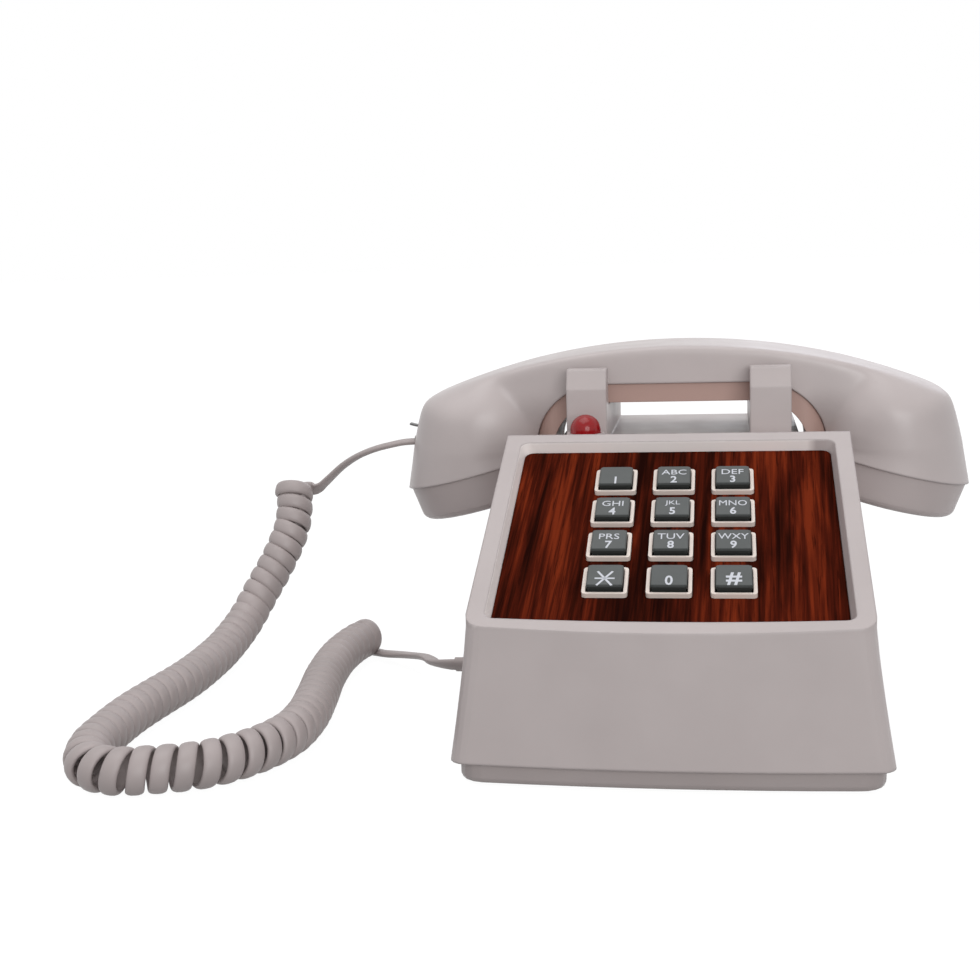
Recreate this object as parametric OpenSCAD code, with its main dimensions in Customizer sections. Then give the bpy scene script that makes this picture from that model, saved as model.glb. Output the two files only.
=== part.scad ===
// Push-button desk telephone with a wedge housing, a sloped keypad and a one-piece handset.
// X runs to the right, Y to the back and Z up. The origin is on the table under the middle.

/* [Housing] */
// Width across the skirt, the lower edge of the housing
skirt_w = 128; // [122:1:134]
// Width from the front edge of the rim upwards
waist_w = 116.8; // [112:0.2:120]
// Depth from the skirt's front edge to the rear wall
body_d = 208; // [200:1:216]
// Height of the skirt's lower edge
skirt_z = 7.5; // [7:0.1:8.5]
// Height of the rim's front edge
front_h = 47.6; // [45:0.1:50]
// How far the front face leans back over its height
front_lean = 2; // [0:0.1:5]
// How far the corners of the front face lie behind its middle
front_bow = 3; // [0:0.1:5]
// Corner radius of the front in plan
front_corner_r = 5.5; // [4:0.1:8]
// Corner radius of the rear in plan
rear_corner_r = 8; // [5:0.1:12]
// Wall thickness of the housing
wall = 3; // [2.6:0.1:3.2]
// How quickly the side flares out towards the skirt
flare_power = 1.2; // [1:0.05:1.8]
// Slope of the keypad panel in degrees
panel_slope = 22; // [21:0.1:23]
// Length of the panel along its slope
panel_len = 113.1; // [111:0.1:115]
// Height of the shoulders that the handset cups hang over
shoulder_h = 55; // [50:0.5:57]
// Distance from the panel's top edge back to the foot of the wedge
shoulder_run = 9; // [7:0.5:14]
// Inset of the front case screws from the waist's side
front_screw_in = 4.4; // [4:0.1:5]
// Inset of the rear case screws from the waist's side
rear_screw_in = 8.4; // [7.5:0.1:10]
// Distance of the front case screws from the skirt's front edge
front_screw_y = 16; // [14:0.5:20]
// Distance of the rear case screws from the rear wall
rear_screw_y = 12; // [10:0.5:16]

/* [Panel and faceplate] */
// Width of the raised rim round the faceplate
rim_w = 5.4; // [4.5:0.1:6]
// Depth of the faceplate's face below the rim
recess_depth = 3.8; // [3:0.1:4.5]
// Inward draft of the recess walls over their depth
recess_draft = 1.3; // [0.5:0.1:1.8]
// Thickness of the wood-look faceplate
faceplate_t = 1.5; // [1.2:0.1:2]
// Thickness of the panel floor under the faceplate
floor_t = 2.5; // [2:0.1:3]
// Corner radius of the recess
recess_r = 3; // [2:0.1:4]

/* [Cradle] */
// Width of the cradle tower at the deck
tower_w = 87; // [84:0.5:88]
// Outward draft of each tower side down to the shoulder
tower_draft = 1.5; // [0.5:0.1:2]
// Height of the deck between the ears
deck_h = 83.9; // [82:0.1:85]
// Distance from the middle to the inner side of an ear
ear_x = 25.6; // [24.5:0.1:27]
// Width of an ear
ear_w = 14.5; // [13.5:0.1:15.5]
// Y of the front face of the ears
ear_front = 26.7; // [25:0.1:28]
// Thickness of the front prong
front_prong = 10; // [8:0.1:11]
// Clear length of the saddle between the prongs
saddle_len = 52; // [50:0.1:54]
// Thickness of the rear prong
rear_prong = 13; // [11:0.1:14]
// Height of the ears
ear_h = 109.9; // [107:0.1:112]
// Height of the crease where the front prong starts to lean back
ear_crease_h = 102.9; // [100:0.1:105]
// How far the prong's face leans back above the crease
ear_lean = 3; // [1:0.1:5]
// Wall thickness of the ears
ear_wall = 2.2; // [1.8:0.1:2.6]

/* [Keypad] */
// Distance between key centres, both ways
key_pitch = 19.05; // [18.6:0.01:19.6]
// Distance from the rim's front edge to the keypad's centre, along the slope
keypad_at = 57.6; // [55:0.1:60]
// Width of a key cap
key_w = 10.8; // [10:0.1:11.4]
// Length of a key cap along the slope
key_l = 11.4; // [10.6:0.1:11.6]
// Height of a key cap above the faceplate
key_rise = 3.4; // [3.2:0.1:4.2]
// Thickness of the cap's lip
lip_t = 1.1; // [0.8:0.1:1.5]
// How far the cap's neck stands in from its lip
neck_inset = 0.4; // [0.2:0.05:0.6]
// Outer width of a key frame
frame_w = 13.6; // [13.4:0.1:14.4]
// Corner radius of a key frame
frame_r = 1; // [0.6:0.1:1.2]
// Height of a key frame above the faceplate
frame_rise = 1.5; // [1:0.1:1.6]
// Gap between a key cap and its frame
key_gap = 0.25; // [0.15:0.01:0.3]
// Travel of a key
key_travel = 2; // [1.5:0.1:2.2]
// Thickness of the plate that carries the frames
frame_plate_t = 2; // [1.6:0.1:2.6]
// Radius of a key's stem
stem_r = 2; // [1.6:0.1:2.3]
// Length of a key's stem below its flange
stem_len = 3.2; // [2.8:0.1:3.6]
// Thickness of a key's flange
flange_t = 1; // [0.8:0.1:1.4]
// Thickness of a circuit board
board_t = 1.6; // [1.2:0.1:2]

/* [Message lamp] */
// Distance of the lamp to the left of the middle
lamp_x = 32.4; // [31:0.1:33]
// Y of the lamp
lamp_y = 16.7; // [16:0.1:17.5]
// Radius of the lens
lens_r = 5.45; // [5:0.05:5.6]
// Height of the centre of the lens dome
lens_h = 89.7; // [88.5:0.1:91]
// Wall of the lens collar
collar_wall = 1.2; // [0.8:0.1:1.5]

/* [Base] */
// Width of the base pan
pan_w = 123.4; // [122.4:0.1:123.8]
// How far the pan's front and rear stand in from the skirt
pan_inset = 2; // [1.5:0.1:2.4]
// Thickness of the pan's floor
pan_t = 2.5; // [2:0.1:3]
// Height of the feet below the pan
foot_h = 1; // [0.8:0.1:1.5]
// Radius of a foot
foot_r = 7; // [5:0.1:8]
// Thickness of the pan's lip inside the skirt
lip_w = 1.5; // [1.2:0.1:2]
// Height of the pan's lip above the skirt's edge
lip_h = 4; // [3:0.1:6]
// Radius of a case screw's shank
screw_r = 1.25; // [1:0.05:1.6]

/* [Hook] */
// Radius of a hook plunger
plunger_r = 3; // [2.5:0.1:3.4]
// Rise of the hook plungers when the handset is lifted
hook_rise = 5; // [4:0.1:5.5]
// Height of the hook bracket's floor
bracket_z = 56; // [54:0.5:58]
// Thickness of the hook bracket's steel
bracket_t = 1.5; // [1:0.1:2]
// Outer radius of a hook spring
spring_r = 4; // [3.5:0.1:4.5]
// Radius of the spring wire
spring_wire_r = 0.5; // [0.4:0.05:0.6]
// Turns of a hook spring
spring_turns = 4; // [3:1:5]
// Height of a hook spring with the handset down
spring_h = 8; // [7:0.1:9]
// Thickness of the yoke that joins the plungers
yoke_t = 4; // [3:0.1:5]
// Width of the yoke from front to back
yoke_d = 10; // [8:0.1:11]
// Height of the bracket's floor up to its tabs
bracket_h = 16; // [15:0.1:17]
// Distance from the middle to a bracket screw
bracket_screw_x = 20; // [16:0.5:22]
// Distance of a bracket screw in front of or behind the plungers
bracket_screw_y = 13; // [12:0.5:15]

/* [Rear wall] */
// Distance of the line jack to the right of the middle
jack_x = 21; // [14:0.5:30]
// Width of the line jack
jack_w = 14; // [13:0.1:15]
// Height of the line jack
jack_h = 12; // [11.5:0.1:13]
// Depth of the line jack
jack_d = 14; // [13:0.1:16]
// Height of the line jack's underside
jack_z = 9; // [8.5:0.1:10]
// Width of the line jack's socket
socket_w = 9.8; // [9.4:0.1:10.2]
// Height of the line jack's socket
socket_h = 7.2; // [6.8:0.1:7.6]
// Distance of the ringer switch to the left of the middle
switch_x = 22; // [16:0.5:30]
// Width of the ringer switch
switch_w = 16; // [15.5:0.1:18]
// Height of the ringer switch
switch_h = 8; // [7:0.1:9]
// Depth of the ringer switch
switch_d = 7; // [6:0.1:8]
// Height of the ringer switch's underside
switch_z = 12; // [12:0.1:14]
// Width of the ringer knob's slot
slot_w = 12; // [11.6:0.1:13]
// Height of the ringer knob's slot
slot_h = 4; // [3.8:0.1:4.4]
// Width of the ringer knob
knob_w = 5; // [4:0.1:5.4]
// Travel of the ringer knob
knob_travel = 6; // [4:0.1:6.4]

/* [Handset] */
// Radius of the handset's top arc
top_r = 256; // [250:1:262]
// Height of the top arc's highest point as the handset rests
top_h = 117.1; // [116:0.1:118]
// Height of the outer shell's lower edge under the handle
edge_h = 103.4; // [102.5:0.1:104]
// Half length of the straight part of the handle
grip_half = 28.8; // [28:0.1:29.5]
// Radius of the outer shell's lower edge from handle to cup
arch_r = 25; // [24.5:0.1:25.5]
// How far the inner shell stands below the outer shell's edge
inner_drop = 6.9; // [6.4:0.1:7.1]
// Depth of the handle from front to back
handle_d = 42; // [40:0.5:44]
// Radius of the cups at the seam between the shells
cup_r = 29; // [28.4:0.1:29.4]
// Distance from the middle to the centre of a cup's seam
cup_x = 78.2; // [77.5:0.1:79]
// Height of the centre of a cup's seam
cup_h = 69.9; // [69.4:0.1:70.4]
// Tilt of the cups in degrees, outer side lower
cup_tilt = 14.4; // [13.5:0.1:15.5]
// Y of the handset's middle
handset_y = 61.2; // [60.6:0.1:61.8]
// Wall thickness of the handset shells
shell_t = 2.2; // [1.8:0.1:2.5]
// Step from the outer shell in to the inner shell
shell_step = 1; // [0.6:0.1:1.4]
// Depth of a cap from the seam to its face
cap_d = 14; // [13:0.1:15]
// Taper of a cap's radius towards its face
cap_taper = 1.25; // [0.8:0.05:1.6]
// Edge radius of a cap's face
cap_edge_r = 3.5; // [2.5:0.1:4]
// Lean of the handset's outer ends from upright in degrees
end_lean = 14; // [12:0.5:15]
// How much the handle's edge narrows where it flows into a cup
neck_narrow = 0.6; // [0.4:0.02:0.7]
// Distance from the middle where the handle's edge starts to narrow
neck_x = 44; // [42:0.5:46]
// Depth of the handset's ballast
weight_d = 24; // [18:0.5:28]
// Height of the handset's ballast
weight_h = 6; // [4:0.1:8]
// Radius of the receiver capsule
receiver_r = 20; // [17:0.5:21.5]
// Radius of the microphone capsule
microphone_r = 14; // [10:0.5:18]
// Height of the modular plug above the table as the handset rests
plug_z = 80; // [79:0.1:81]
// Distance from the middle to the plug's outer end
plug_x = 107; // [106.8:0.1:108.5]
// Length of the plug
plug_len = 13.5; // [13:0.1:14.5]
// Width of the plug
plug_w = 7.6; // [7:0.1:8]
// Height of the plug
plug_h = 6.4; // [6:0.1:7]

/* [Fits] */
// Side gap between pieces that stay still
gap = 0.3; // [0.2:0.05:0.4]
// Running clearance of plungers and pins, on the radius
run_fit = 0.1; // [0.05:0.01:0.15]
// Clearance of a screw in its pilot hole, on the radius
pilot_fit = 0.05; // [0.03:0.01:0.08]

/* [Cord] */
// Outer diameter of the coiled stretch
coil_d = 14.5; // [13.5:0.1:14.6]
// Diameter of the straight leaders
leader_d = 3.4; // [3:0.1:3.8]
// Length of the strain relief outside the housing
relief_len = 12; // [10:0.5:14]
// Distance of the cord exit in front of the middle
exit_y = 25; // [20:0.5:30]
// Height of the cord exit
exit_z = 15; // [14:0.1:18]
// Radius of the cord exit in the wall
exit_r = 2.9; // [2.7:0.05:3.4]

/* [Hidden] */
$fn = 48;

ivory = "#C8BDBA";
ivory_deep = "#B8ADAA";
wood = "#5A2015";
key_grey = "#73746E";
steel = "#A9ACAF";
board_green = "#2F6B45";
black = "#26262A";
cut = 1; // how far a cutter runs past what it cuts
far = 400; // a length beyond the whole telephone

front_y = -body_d / 2;
rear_y = body_d / 2;
rim_y = front_y + front_lean;
rim_top_y = rim_y + panel_len * cos(panel_slope);
rim_top_z = front_h + panel_len * sin(panel_slope);
floor_n = recess_depth + faceplate_t; // depth of the panel floor's face below the rim
under_n = floor_n + floor_t; // depth of the panel floor's underside
deck_under = deck_h - wall;

// ---------- general geometry ----------
function mix(a, b, t) = a + (b - a) * t;
function smooth(t) = let (u = max(0, min(1, t))) u * u * (3 - 2 * u);
function unit(v) = v / norm(v);
function reverse(v) = [for (i = [len(v) - 1:-1:0]) v[i]];

// Joins rings of equal length into one closed solid. Each ring runs anticlockwise
// seen from the side that the rings advance to.
module loft(rings) {
    n = len(rings[0]);
    m = len(rings);
    polyhedron(
        points = [for (r = rings) each r],
        faces = concat(
            [[for (i = [0:n - 1]) i]],
            [[for (i = [n - 1:-1:0]) (m - 1) * n + i]],
            [for (j = [0:m - 2], i = [0:n - 1]) let (k = (i + 1) % n)
                [j * n + i, (j + 1) * n + i, (j + 1) * n + k]],
            [for (j = [0:m - 2], i = [0:n - 1]) let (k = (i + 1) % n)
                [j * n + i, (j + 1) * n + k, j * n + k]]
        )
    );
}

// Points of an arc from angle a to angle b about c
function arc(c, r, a, b, n) = [for (i = [0:n]) let (t = mix(a, b, i / n)) c + r * [cos(t), sin(t)]];

// Plan outline with a bowed front: half width, front and rear y, bow and corner radii
function plan(hw, y0, y1, bow, rf, rr, n = 5) = let (
    xf = hw - rf,
    yf = y0 + bow * pow(xf / hw, 2)
) concat(
    [for (i = [0:7]) let (x = mix(-xf, xf, i / 8)) [x, y0 + bow * pow(x / hw, 2)]],
    arc([xf, yf + rf], rf, -90, 0, n),
    arc([hw - rr, y1 - rr], rr, 0, 90, n),
    arc([-hw + rr, y1 - rr], rr, 90, 180, n),
    arc([-xf, yf + rf], rf, 180, 265, n - 1)
);
function at_z(outline, z) = [for (p = outline) [p[0], p[1], z]];

// Rounded rectangle centred on the origin
function pad_outline(w, l, r, n = 2) = concat(
    arc([w / 2 - r, -l / 2 + r], r, -90, 0, n),
    arc([w / 2 - r, l / 2 - r], r, 0, 90, n),
    arc([-w / 2 + r, l / 2 - r], r, 90, 180, n),
    arc([-w / 2 + r, -l / 2 + r], r, 180, 270, n)
);

module box(x0, x1, y0, y1, z0, z1) {
    translate([x0, y0, z0]) cube([x1 - x0, y1 - y0, z1 - z0]);
}

module ring(r_out, r_in, h) {
    difference() {
        cylinder(r = r_out, h = h);
        translate([0, 0, -cut]) cylinder(r = r_in, h = h + 2 * cut);
    }
}

// Panel frame: x across, y up the slope from the rim's front edge, z out of the rim's plane
module on_panel() {
    translate([0, rim_y, front_h]) rotate([panel_slope, 0, 0]) children();
}

// Draws its children mirrored on both sides
module both_sides() {
    children();
    mirror([1, 0, 0]) children();
}

// Side view outline (y, z) drawn as a solid as wide as w
module side_profile(w, points) {
    translate([-w / 2, 0, 0]) rotate([90, 0, 90]) linear_extrude(w) polygon(points);
}

// Tower that carries the deck, as a tapered block that starts inside the wedge's top edge
tower_lap = 4; // how far the tower's block starts in front of the panel's top edge
module tower(inset) {
    hw = tower_w / 2 - inset;
    foot = hw + tower_draft;
    start = rim_top_y - tower_lap + inset;
    rotate([90, 0, 0]) translate([0, 0, -far]) linear_extrude(far - start) polygon([
        [-foot, skirt_z],
        [foot, skirt_z],
        [foot, shoulder_h],
        [hw, deck_h - inset],
        [-hw, deck_h - inset],
        [-foot, shoulder_h]
    ]);
}

// ---------- cradle ----------
saddle_front = ear_front + front_prong;
saddle_rear = saddle_front + saddle_len;
ear_rear = saddle_rear + rear_prong;
arch_z = edge_h - arch_r; // height of the arches' centres
arch_low = arch_r - inner_drop; // radius of the handset's underside about them
plunger_x = ear_x + ear_w / 2;

// Outline of an ear from the side, before its saddle is cut
module ear_side(inset) {
    polygon([
        [ear_front + inset, deck_under - cut],
        [ear_front + inset, ear_crease_h],
        [ear_front + ear_lean + inset, ear_h - inset],
        [ear_rear - ear_lean - inset, ear_h - inset],
        [ear_rear - inset, ear_crease_h],
        [ear_rear - inset, deck_under - cut]
    ]);
}

// All that lies above the handset's underside on the right, less a margin
module above_underside(margin) {
    r = arch_low - margin;
    low = deck_under - 2 * cut;
    translate([0, far, 0]) rotate([90, 0, 0]) linear_extrude(2 * far) difference() {
        translate([0, low]) square([far, far]);
        translate([-far, 0]) square([far + grip_half, arch_z + r]);
        translate([grip_half, arch_z]) circle(r = r, $fn = 96);
        square([grip_half + r, arch_z]);
    }
}

// One ear on the right side, with its saddle cut to the handset's arch
module ear(inset) {
    difference() {
        translate([ear_x + inset, 0, 0]) rotate([90, 0, 90]) linear_extrude(ear_w - 2 * inset) ear_side(inset);
        intersection() {
            above_underside(gap + inset);
            box(0, far, saddle_front - inset, saddle_rear + inset, 0, far);
        }
    }
}

module at_plungers() {
    for (side = [-1, 1]) translate([side * plunger_x, handset_y, 0]) children();
}

// ---------- housing ----------
flare_steps = [0, 0.14, 0.28, 0.44, 0.62, 0.8, 1];
function flare(z) = let (u = max(0, (front_h - z) / (front_h - skirt_z)))
    waist_w / 2 + (skirt_w - waist_w) / 2 * pow(u, flare_power);
function lean(z) = front_lean * min(1, max(0, (z - skirt_z) / (front_h - skirt_z)));

// The whole plan of the body at height z, drawn in by inset
function body_plan(z, inset) = at_z(plan(
    flare(z) - inset,
    front_y + lean(z) + inset,
    rear_y - inset,
    front_bow,
    max(front_corner_r - inset, 1),
    max(rear_corner_r - inset, 1)
), z);

module body_loft(inset, z0) {
    zs = concat([for (t = flare_steps) mix(z0, front_h, t)], [ear_h]);
    loft([for (z = zs) body_plan(z, inset)]);
}

// Point (y, z) that lies depth below the rim's plane, at distance s up the slope
function panel_point(s, depth) = [
    rim_y + s * cos(panel_slope) + depth * sin(panel_slope),
    front_h + s * sin(panel_slope) - depth * cos(panel_slope)
];

// Wedge under the sloped panel, running back under the shoulders
module wedge(depth, inset) {
    top = panel_point(panel_len, 0);
    side_profile(far, [
        [panel_point(-panel_len, depth)[0], -cut],
        panel_point(-panel_len, depth),
        panel_point(panel_len - 2 * inset, depth),
        [top[0] + shoulder_run - inset * 1.2, shoulder_h - inset],
        [far, shoulder_h - inset],
        [far, -cut]
    ]);
}

// Case screws: bosses hang in the four corners of the housing and meet the pan's posts
boss_r = 4;
post_top = skirt_z + 2;
screw_bite = 12; // how far a case screw reaches into its boss
bracket_bite = 7; // how far a bracket screw reaches into its boss
screw_hole = screw_r + pilot_fit;
screw_slip = screw_r + 0.15; // clearance holes that a screw only passes through
case_screw_spots = [for (side = [-1, 1]) each [
    [side * (waist_w / 2 - front_screw_in), front_y + front_screw_y],
    [side * (waist_w / 2 - rear_screw_in), rear_y - rear_screw_y]
]];
module at_case_screws() {
    for (spot = case_screw_spots) translate([spot[0], spot[1], 0]) children();
}
module at_bracket_screws() {
    for (side = [-1, 1], way = [-1, 1])
        translate([side * bracket_screw_x, handset_y + way * bracket_screw_y, 0]) children();
}
bracket_top = bracket_z + bracket_h; // upper face of the bracket's tabs
switch_mid = switch_z + switch_h / 2; // height of the ringer switch's middle

window_margin = 1.5; // clear edge between the key frames and the floor's window
field_w = 2 * key_pitch + frame_w;
field_l = 3 * key_pitch + frame_w;

// Pocket for the faceplate; its drafted walls run on past the rim
module recess() {
    hw = waist_w / 2 - rim_w;
    bow = front_bow / 2;
    s0 = rim_w;
    s1 = panel_len - rim_w;
    d = recess_draft;
    face = plan(hw - d, s0 + d, s1 - d / 2, bow, recess_r, recess_r);
    beyond = plan(hw + d, s0 - d, s1 + d / 2, bow, recess_r, recess_r);
    loft([at_z(face, -floor_n), at_z(face, -recess_depth), at_z(beyond, recess_depth)]);
}

// Housing's solid outer form with the ears on the deck
module housing_form() {
    intersection() {
        body_loft(0, skirt_z);
        union() {
            wedge(0, 0);
            tower(0);
        }
    }
    both_sides() ear(0);
}

// The space inside the housing and its ears
module housing_space() {
    intersection() {
        body_loft(wall, skirt_z - cut);
        union() {
            wedge(under_n, wall);
            tower(wall);
        }
    }
    both_sides() ear(ear_wall);
}

// Bosses in the corners and under the deck, with their pilot holes
module housing_bosses() {
    difference() {
        intersection() {
            at_case_screws() translate([0, 0, post_top]) cylinder(r = boss_r, h = shoulder_h);
            wedge(floor_n + floor_t / 2, wall / 2);
        }
        at_case_screws() translate([0, 0, post_top - cut]) cylinder(r = screw_hole, h = screw_bite + 2 * cut);
    }
    at_bracket_screws() translate([0, 0, bracket_top]) difference() {
        cylinder(r = boss_r, h = deck_h - cut - bracket_top);
        translate([0, 0, -cut]) cylinder(r = screw_hole, h = bracket_bite + 2 * cut);
    }
}

module housing() color(ivory) difference() {
    union() {
        difference() {
            housing_form();
            housing_space();
        }
        housing_bosses();
    }
    on_panel() recess();
    on_panel() translate([0, keypad_at, -under_n - cut]) linear_extrude(floor_t + 2 * cut)
        square([field_w + 2 * window_margin, field_l + 2 * window_margin], center = true);
    at_plungers() translate([0, 0, deck_h]) cylinder(r = plunger_r + run_fit, h = ear_h - deck_h);
    translate([-lamp_x, lamp_y, deck_under - cut]) cylinder(r = lens_r + run_fit, h = wall + 2 * cut);
    translate([-skirt_w / 2, -exit_y, exit_z]) rotate([0, 90, 0]) cylinder(r = exit_r, h = 2 * wall + 2);
    box(jack_x - jack_w / 2 - gap, jack_x + jack_w / 2 + gap, rear_y - wall - cut, rear_y + cut,
        jack_z - gap, jack_z + jack_h + gap);
    box(-switch_x - slot_w / 2, -switch_x + slot_w / 2, rear_y - wall - cut, rear_y + cut,
        switch_mid - slot_h / 2, switch_mid + slot_h / 2);
}

// ---------- faceplate and keypad ----------
cols = [-1, 0, 1];
rows = [0, 1, 2, 3]; // from the bottom row up
module at_key(col, row) {
    on_panel() translate([col * key_pitch, keypad_at + (row - 1.5) * key_pitch, 0]) children();
}
module at_every_key() {
    for (col = cols, row = rows) at_key(col, row) children();
}
module key_squares(size, r) {
    for (col = cols, row = rows)
        translate([col * key_pitch, keypad_at + (row - 1.5) * key_pitch]) polygon(pad_outline(size, size, r));
}

module faceplate() color(wood) on_panel() {
    d = recess_draft + gap / 2;
    translate([0, 0, -floor_n]) linear_extrude(faceplate_t) difference() {
        polygon(plan(waist_w / 2 - rim_w - d, rim_w + d, panel_len - rim_w - recess_draft / 2 - gap / 2,
            front_bow / 2, recess_r, recess_r));
        key_squares(frame_w + gap, frame_r + gap / 2);
    }
}

frame_hole_w = key_w + 2 * key_gap;
frame_hole_l = key_l + 2 * key_gap;
frame_edge = 9; // edge of the frame plate beyond the field of keys
plate_w = field_w + 2 * frame_edge;
plate_l = field_l + 2 * frame_edge;
plate_bottom = under_n + frame_plate_t;
flange_w = frame_hole_w + 1.6;
flange_l = frame_hole_l + 1.6;
flange_top = plate_bottom + gap / 2;
stem_end = flange_top + flange_t + stem_len;
board_top = stem_end + key_travel + 0.5; // depth of the keypad board's face
mat_t = 1;
post_x = plate_w / 2 - 4;
post_y = plate_l / 2 - 4;
post_r = 3;
module at_posts() {
    on_panel() for (sx = [-1, 1], sy = [-1, 1]) translate([sx * post_x, keypad_at + sy * post_y, 0]) children();
}

// Plate behind the panel floor with twelve frames that stand through the faceplate
module key_frames() color("#D8CCC2") difference() {
    union() {
        on_panel() translate([-plate_w / 2, keypad_at - plate_l / 2, -plate_bottom])
            cube([plate_w, plate_l, frame_plate_t]);
        on_panel() translate([0, 0, -plate_bottom])
            linear_extrude(plate_bottom - recess_depth + frame_rise) key_squares(frame_w, frame_r);
        at_posts() translate([0, 0, -board_top]) cylinder(r = post_r, h = board_top - under_n - cut);
    }
    at_every_key() translate([-frame_hole_w / 2, -frame_hole_l / 2, -plate_bottom - cut])
        cube([frame_hole_w, frame_hole_l, plate_bottom + 2 * cut]);
    at_posts() translate([0, 0, -board_top - cut]) cylinder(r = screw_slip, h = board_top);
}

// One key: a cap with a lip, a neck, a flange behind the frames and a stem
module key(col, row) color(key_grey) at_key(col, row) {
    top = key_rise - recess_depth;
    edge = 0.35;
    cap_r = 0.8;
    lip = pad_outline(key_w, key_l, cap_r);
    loft([
        at_z(lip, top - lip_t),
        at_z(lip, top - edge),
        at_z(pad_outline(key_w - 2 * edge, key_l - 2 * edge, cap_r), top)
    ]);
    translate([0, 0, -flange_top - cut / 2])
        linear_extrude(top - lip_t + flange_top + cut / 2)
            square([key_w - 2 * neck_inset, key_l - 2 * neck_inset], center = true);
    translate([0, 0, -flange_top - flange_t]) linear_extrude(flange_t) square([flange_w, flange_l], center = true);
    translate([0, 0, -stem_end]) cylinder(r = stem_r, h = stem_len + cut / 2);
}

// Rubber mat with a conical collar round each key's stem
collar_fit = 0.4;
module key_mat() color(black) {
    h = board_top - mat_t - stem_end + stem_len - key_travel - gap; // clear of a pressed key's flange
    difference() {
        union() {
            on_panel() translate([0, keypad_at, -board_top]) linear_extrude(mat_t)
                square([field_w + 4, field_l + 4], center = true);
            at_every_key() translate([0, 0, -board_top + mat_t - 0.01])
                cylinder(r1 = stem_r + 2.4, r2 = stem_r + 1.2, h = h);
        }
        at_every_key() translate([0, 0, -board_top - cut]) cylinder(r = stem_r + collar_fit, h = mat_t + h + 2 * cut);
    }
}

module keypad_board() color(board_green) difference() {
    on_panel() translate([-plate_w / 2, keypad_at - plate_l / 2, -board_top - board_t])
        cube([plate_w, plate_l, board_t]);
    at_posts() translate([0, 0, -board_top - board_t - cut]) cylinder(r = screw_slip, h = board_t + 2 * cut);
}

head_r = 2.6;
head_h = 1.8;
// Round-headed screw with its head's underside at the origin and its shank upwards
module screw(len) {
    translate([0, 0, -head_h]) cylinder(r = head_r, h = head_h);
    translate([0, 0, -cut / 2]) cylinder(r = screw_r, h = len + cut / 2);
}

module keypad_screws() color(steel)
    at_posts() translate([0, 0, -board_top - board_t]) screw(board_top + board_t - under_n - gap);

// ---------- message lamp ----------
lens_flange_r = lens_r + 1.4;
lens_flange_t = 1.5;
lens_wall = 1.2;
led_r = 2.5;
holder_drop = 6; // depth of the lamp holder's cup below the deck's underside
holder_t = 1.5; // thickness of the cup's floor
module at_lamp() {
    translate([-lamp_x, lamp_y, 0]) children();
}

module message_lamp() color("#B00F18") at_lamp() rotate_extrude() difference() {
    union() {
        intersection() {
            translate([0, lens_h]) circle(r = lens_r);
            translate([0, lens_h]) square(lens_r + cut);
        }
        translate([0, deck_under - gap / 2]) square([lens_r, lens_h - deck_under + gap / 2]);
        translate([0, deck_under - gap / 2 - lens_flange_t]) square([lens_flange_r, lens_flange_t]);
    }
    square([lens_r - lens_wall, lens_h]);
    intersection() {
        translate([0, lens_h]) circle(r = lens_r - lens_wall);
        translate([0, lens_h - 0.1]) square(lens_r);
    }
}

module lamp_collar() color(ivory) at_lamp() translate([0, 0, deck_h])
    ring(lens_r + run_fit + collar_wall, lens_r + run_fit, lens_h - 1 - deck_h);

module lamp_holder() color(black) at_lamp() {
    floor_z = deck_under - holder_drop;
    difference() {
        translate([0, 0, floor_z]) cylinder(r = lens_flange_r + 1.3, h = holder_drop);
        translate([0, 0, floor_z + holder_t]) cylinder(r = lens_flange_r + gap / 2, h = holder_drop);
        translate([0, 0, floor_z - cut]) cylinder(r = led_r + pilot_fit, h = holder_drop);
    }
}

module lamp_led() color("#E8D8D0") at_lamp() {
    floor_z = deck_under - holder_drop;
    translate([0, 0, floor_z - 2]) cylinder(r = led_r, h = 9);
    translate([0, 0, floor_z + 7]) intersection() {
        sphere(r = led_r);
        cylinder(r = led_r, h = led_r);
    }
    translate([0, 0, floor_z + holder_t]) cylinder(r = led_r + 0.5, h = 1);
}

// ---------- hook ----------
yoke_bottom = bracket_z + bracket_t + spring_h;
yoke_top = yoke_bottom + yoke_t;
pin_r = 1.8;
collar_r = plunger_r + 1.2;
collar_t = 1.5;
tip_gap = gap + 0.6; // from a plunger's shoulder up to the handset's underside
// Height of the handset's underside over a plunger's outer edge
under_edge = arch_z + sqrt(pow(arch_low, 2) - pow(plunger_x + plunger_r - grip_half, 2));
collar_top = arch_z + sqrt(pow(arch_low - gap - ear_wall, 2) - pow(plunger_x + collar_r - grip_half, 2))
    - hook_rise - gap;

module hook_plunger() color("#E9E6E2") translate([plunger_x, handset_y, 0]) {
    rotate_extrude() polygon(concat(
        [[0, yoke_bottom], [pin_r, yoke_bottom], [pin_r, yoke_top], [plunger_r, yoke_top]],
        [[plunger_r, collar_top - collar_t], [collar_r, collar_top - collar_t], [collar_r, collar_top]],
        [[plunger_r, collar_top], [plunger_r, under_edge - tip_gap]],
        [for (i = [1:4]) [plunger_r * cos(i * 22.5), under_edge - tip_gap + 0.8 * sin(i * 22.5)]]
    ));
}

module hook_yoke() color(black) difference() {
    union() {
        box(-plunger_x, plunger_x, handset_y - yoke_d / 2, handset_y + yoke_d / 2, yoke_bottom, yoke_top);
        at_plungers() translate([0, 0, yoke_bottom]) cylinder(r = yoke_d / 2, h = yoke_t);
    }
    at_plungers() translate([0, 0, yoke_bottom - cut]) cylinder(r = pin_r + pilot_fit, h = yoke_t + 2 * cut);
}

// Ring of a wire about point c, square to the direction d
function wire_ring(c, d, u, r, n) = let (v = cross(d, u))
    [for (i = [0:n - 1]) c + r * (cos(360 * i / n) * u + sin(360 * i / n) * v)];

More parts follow.
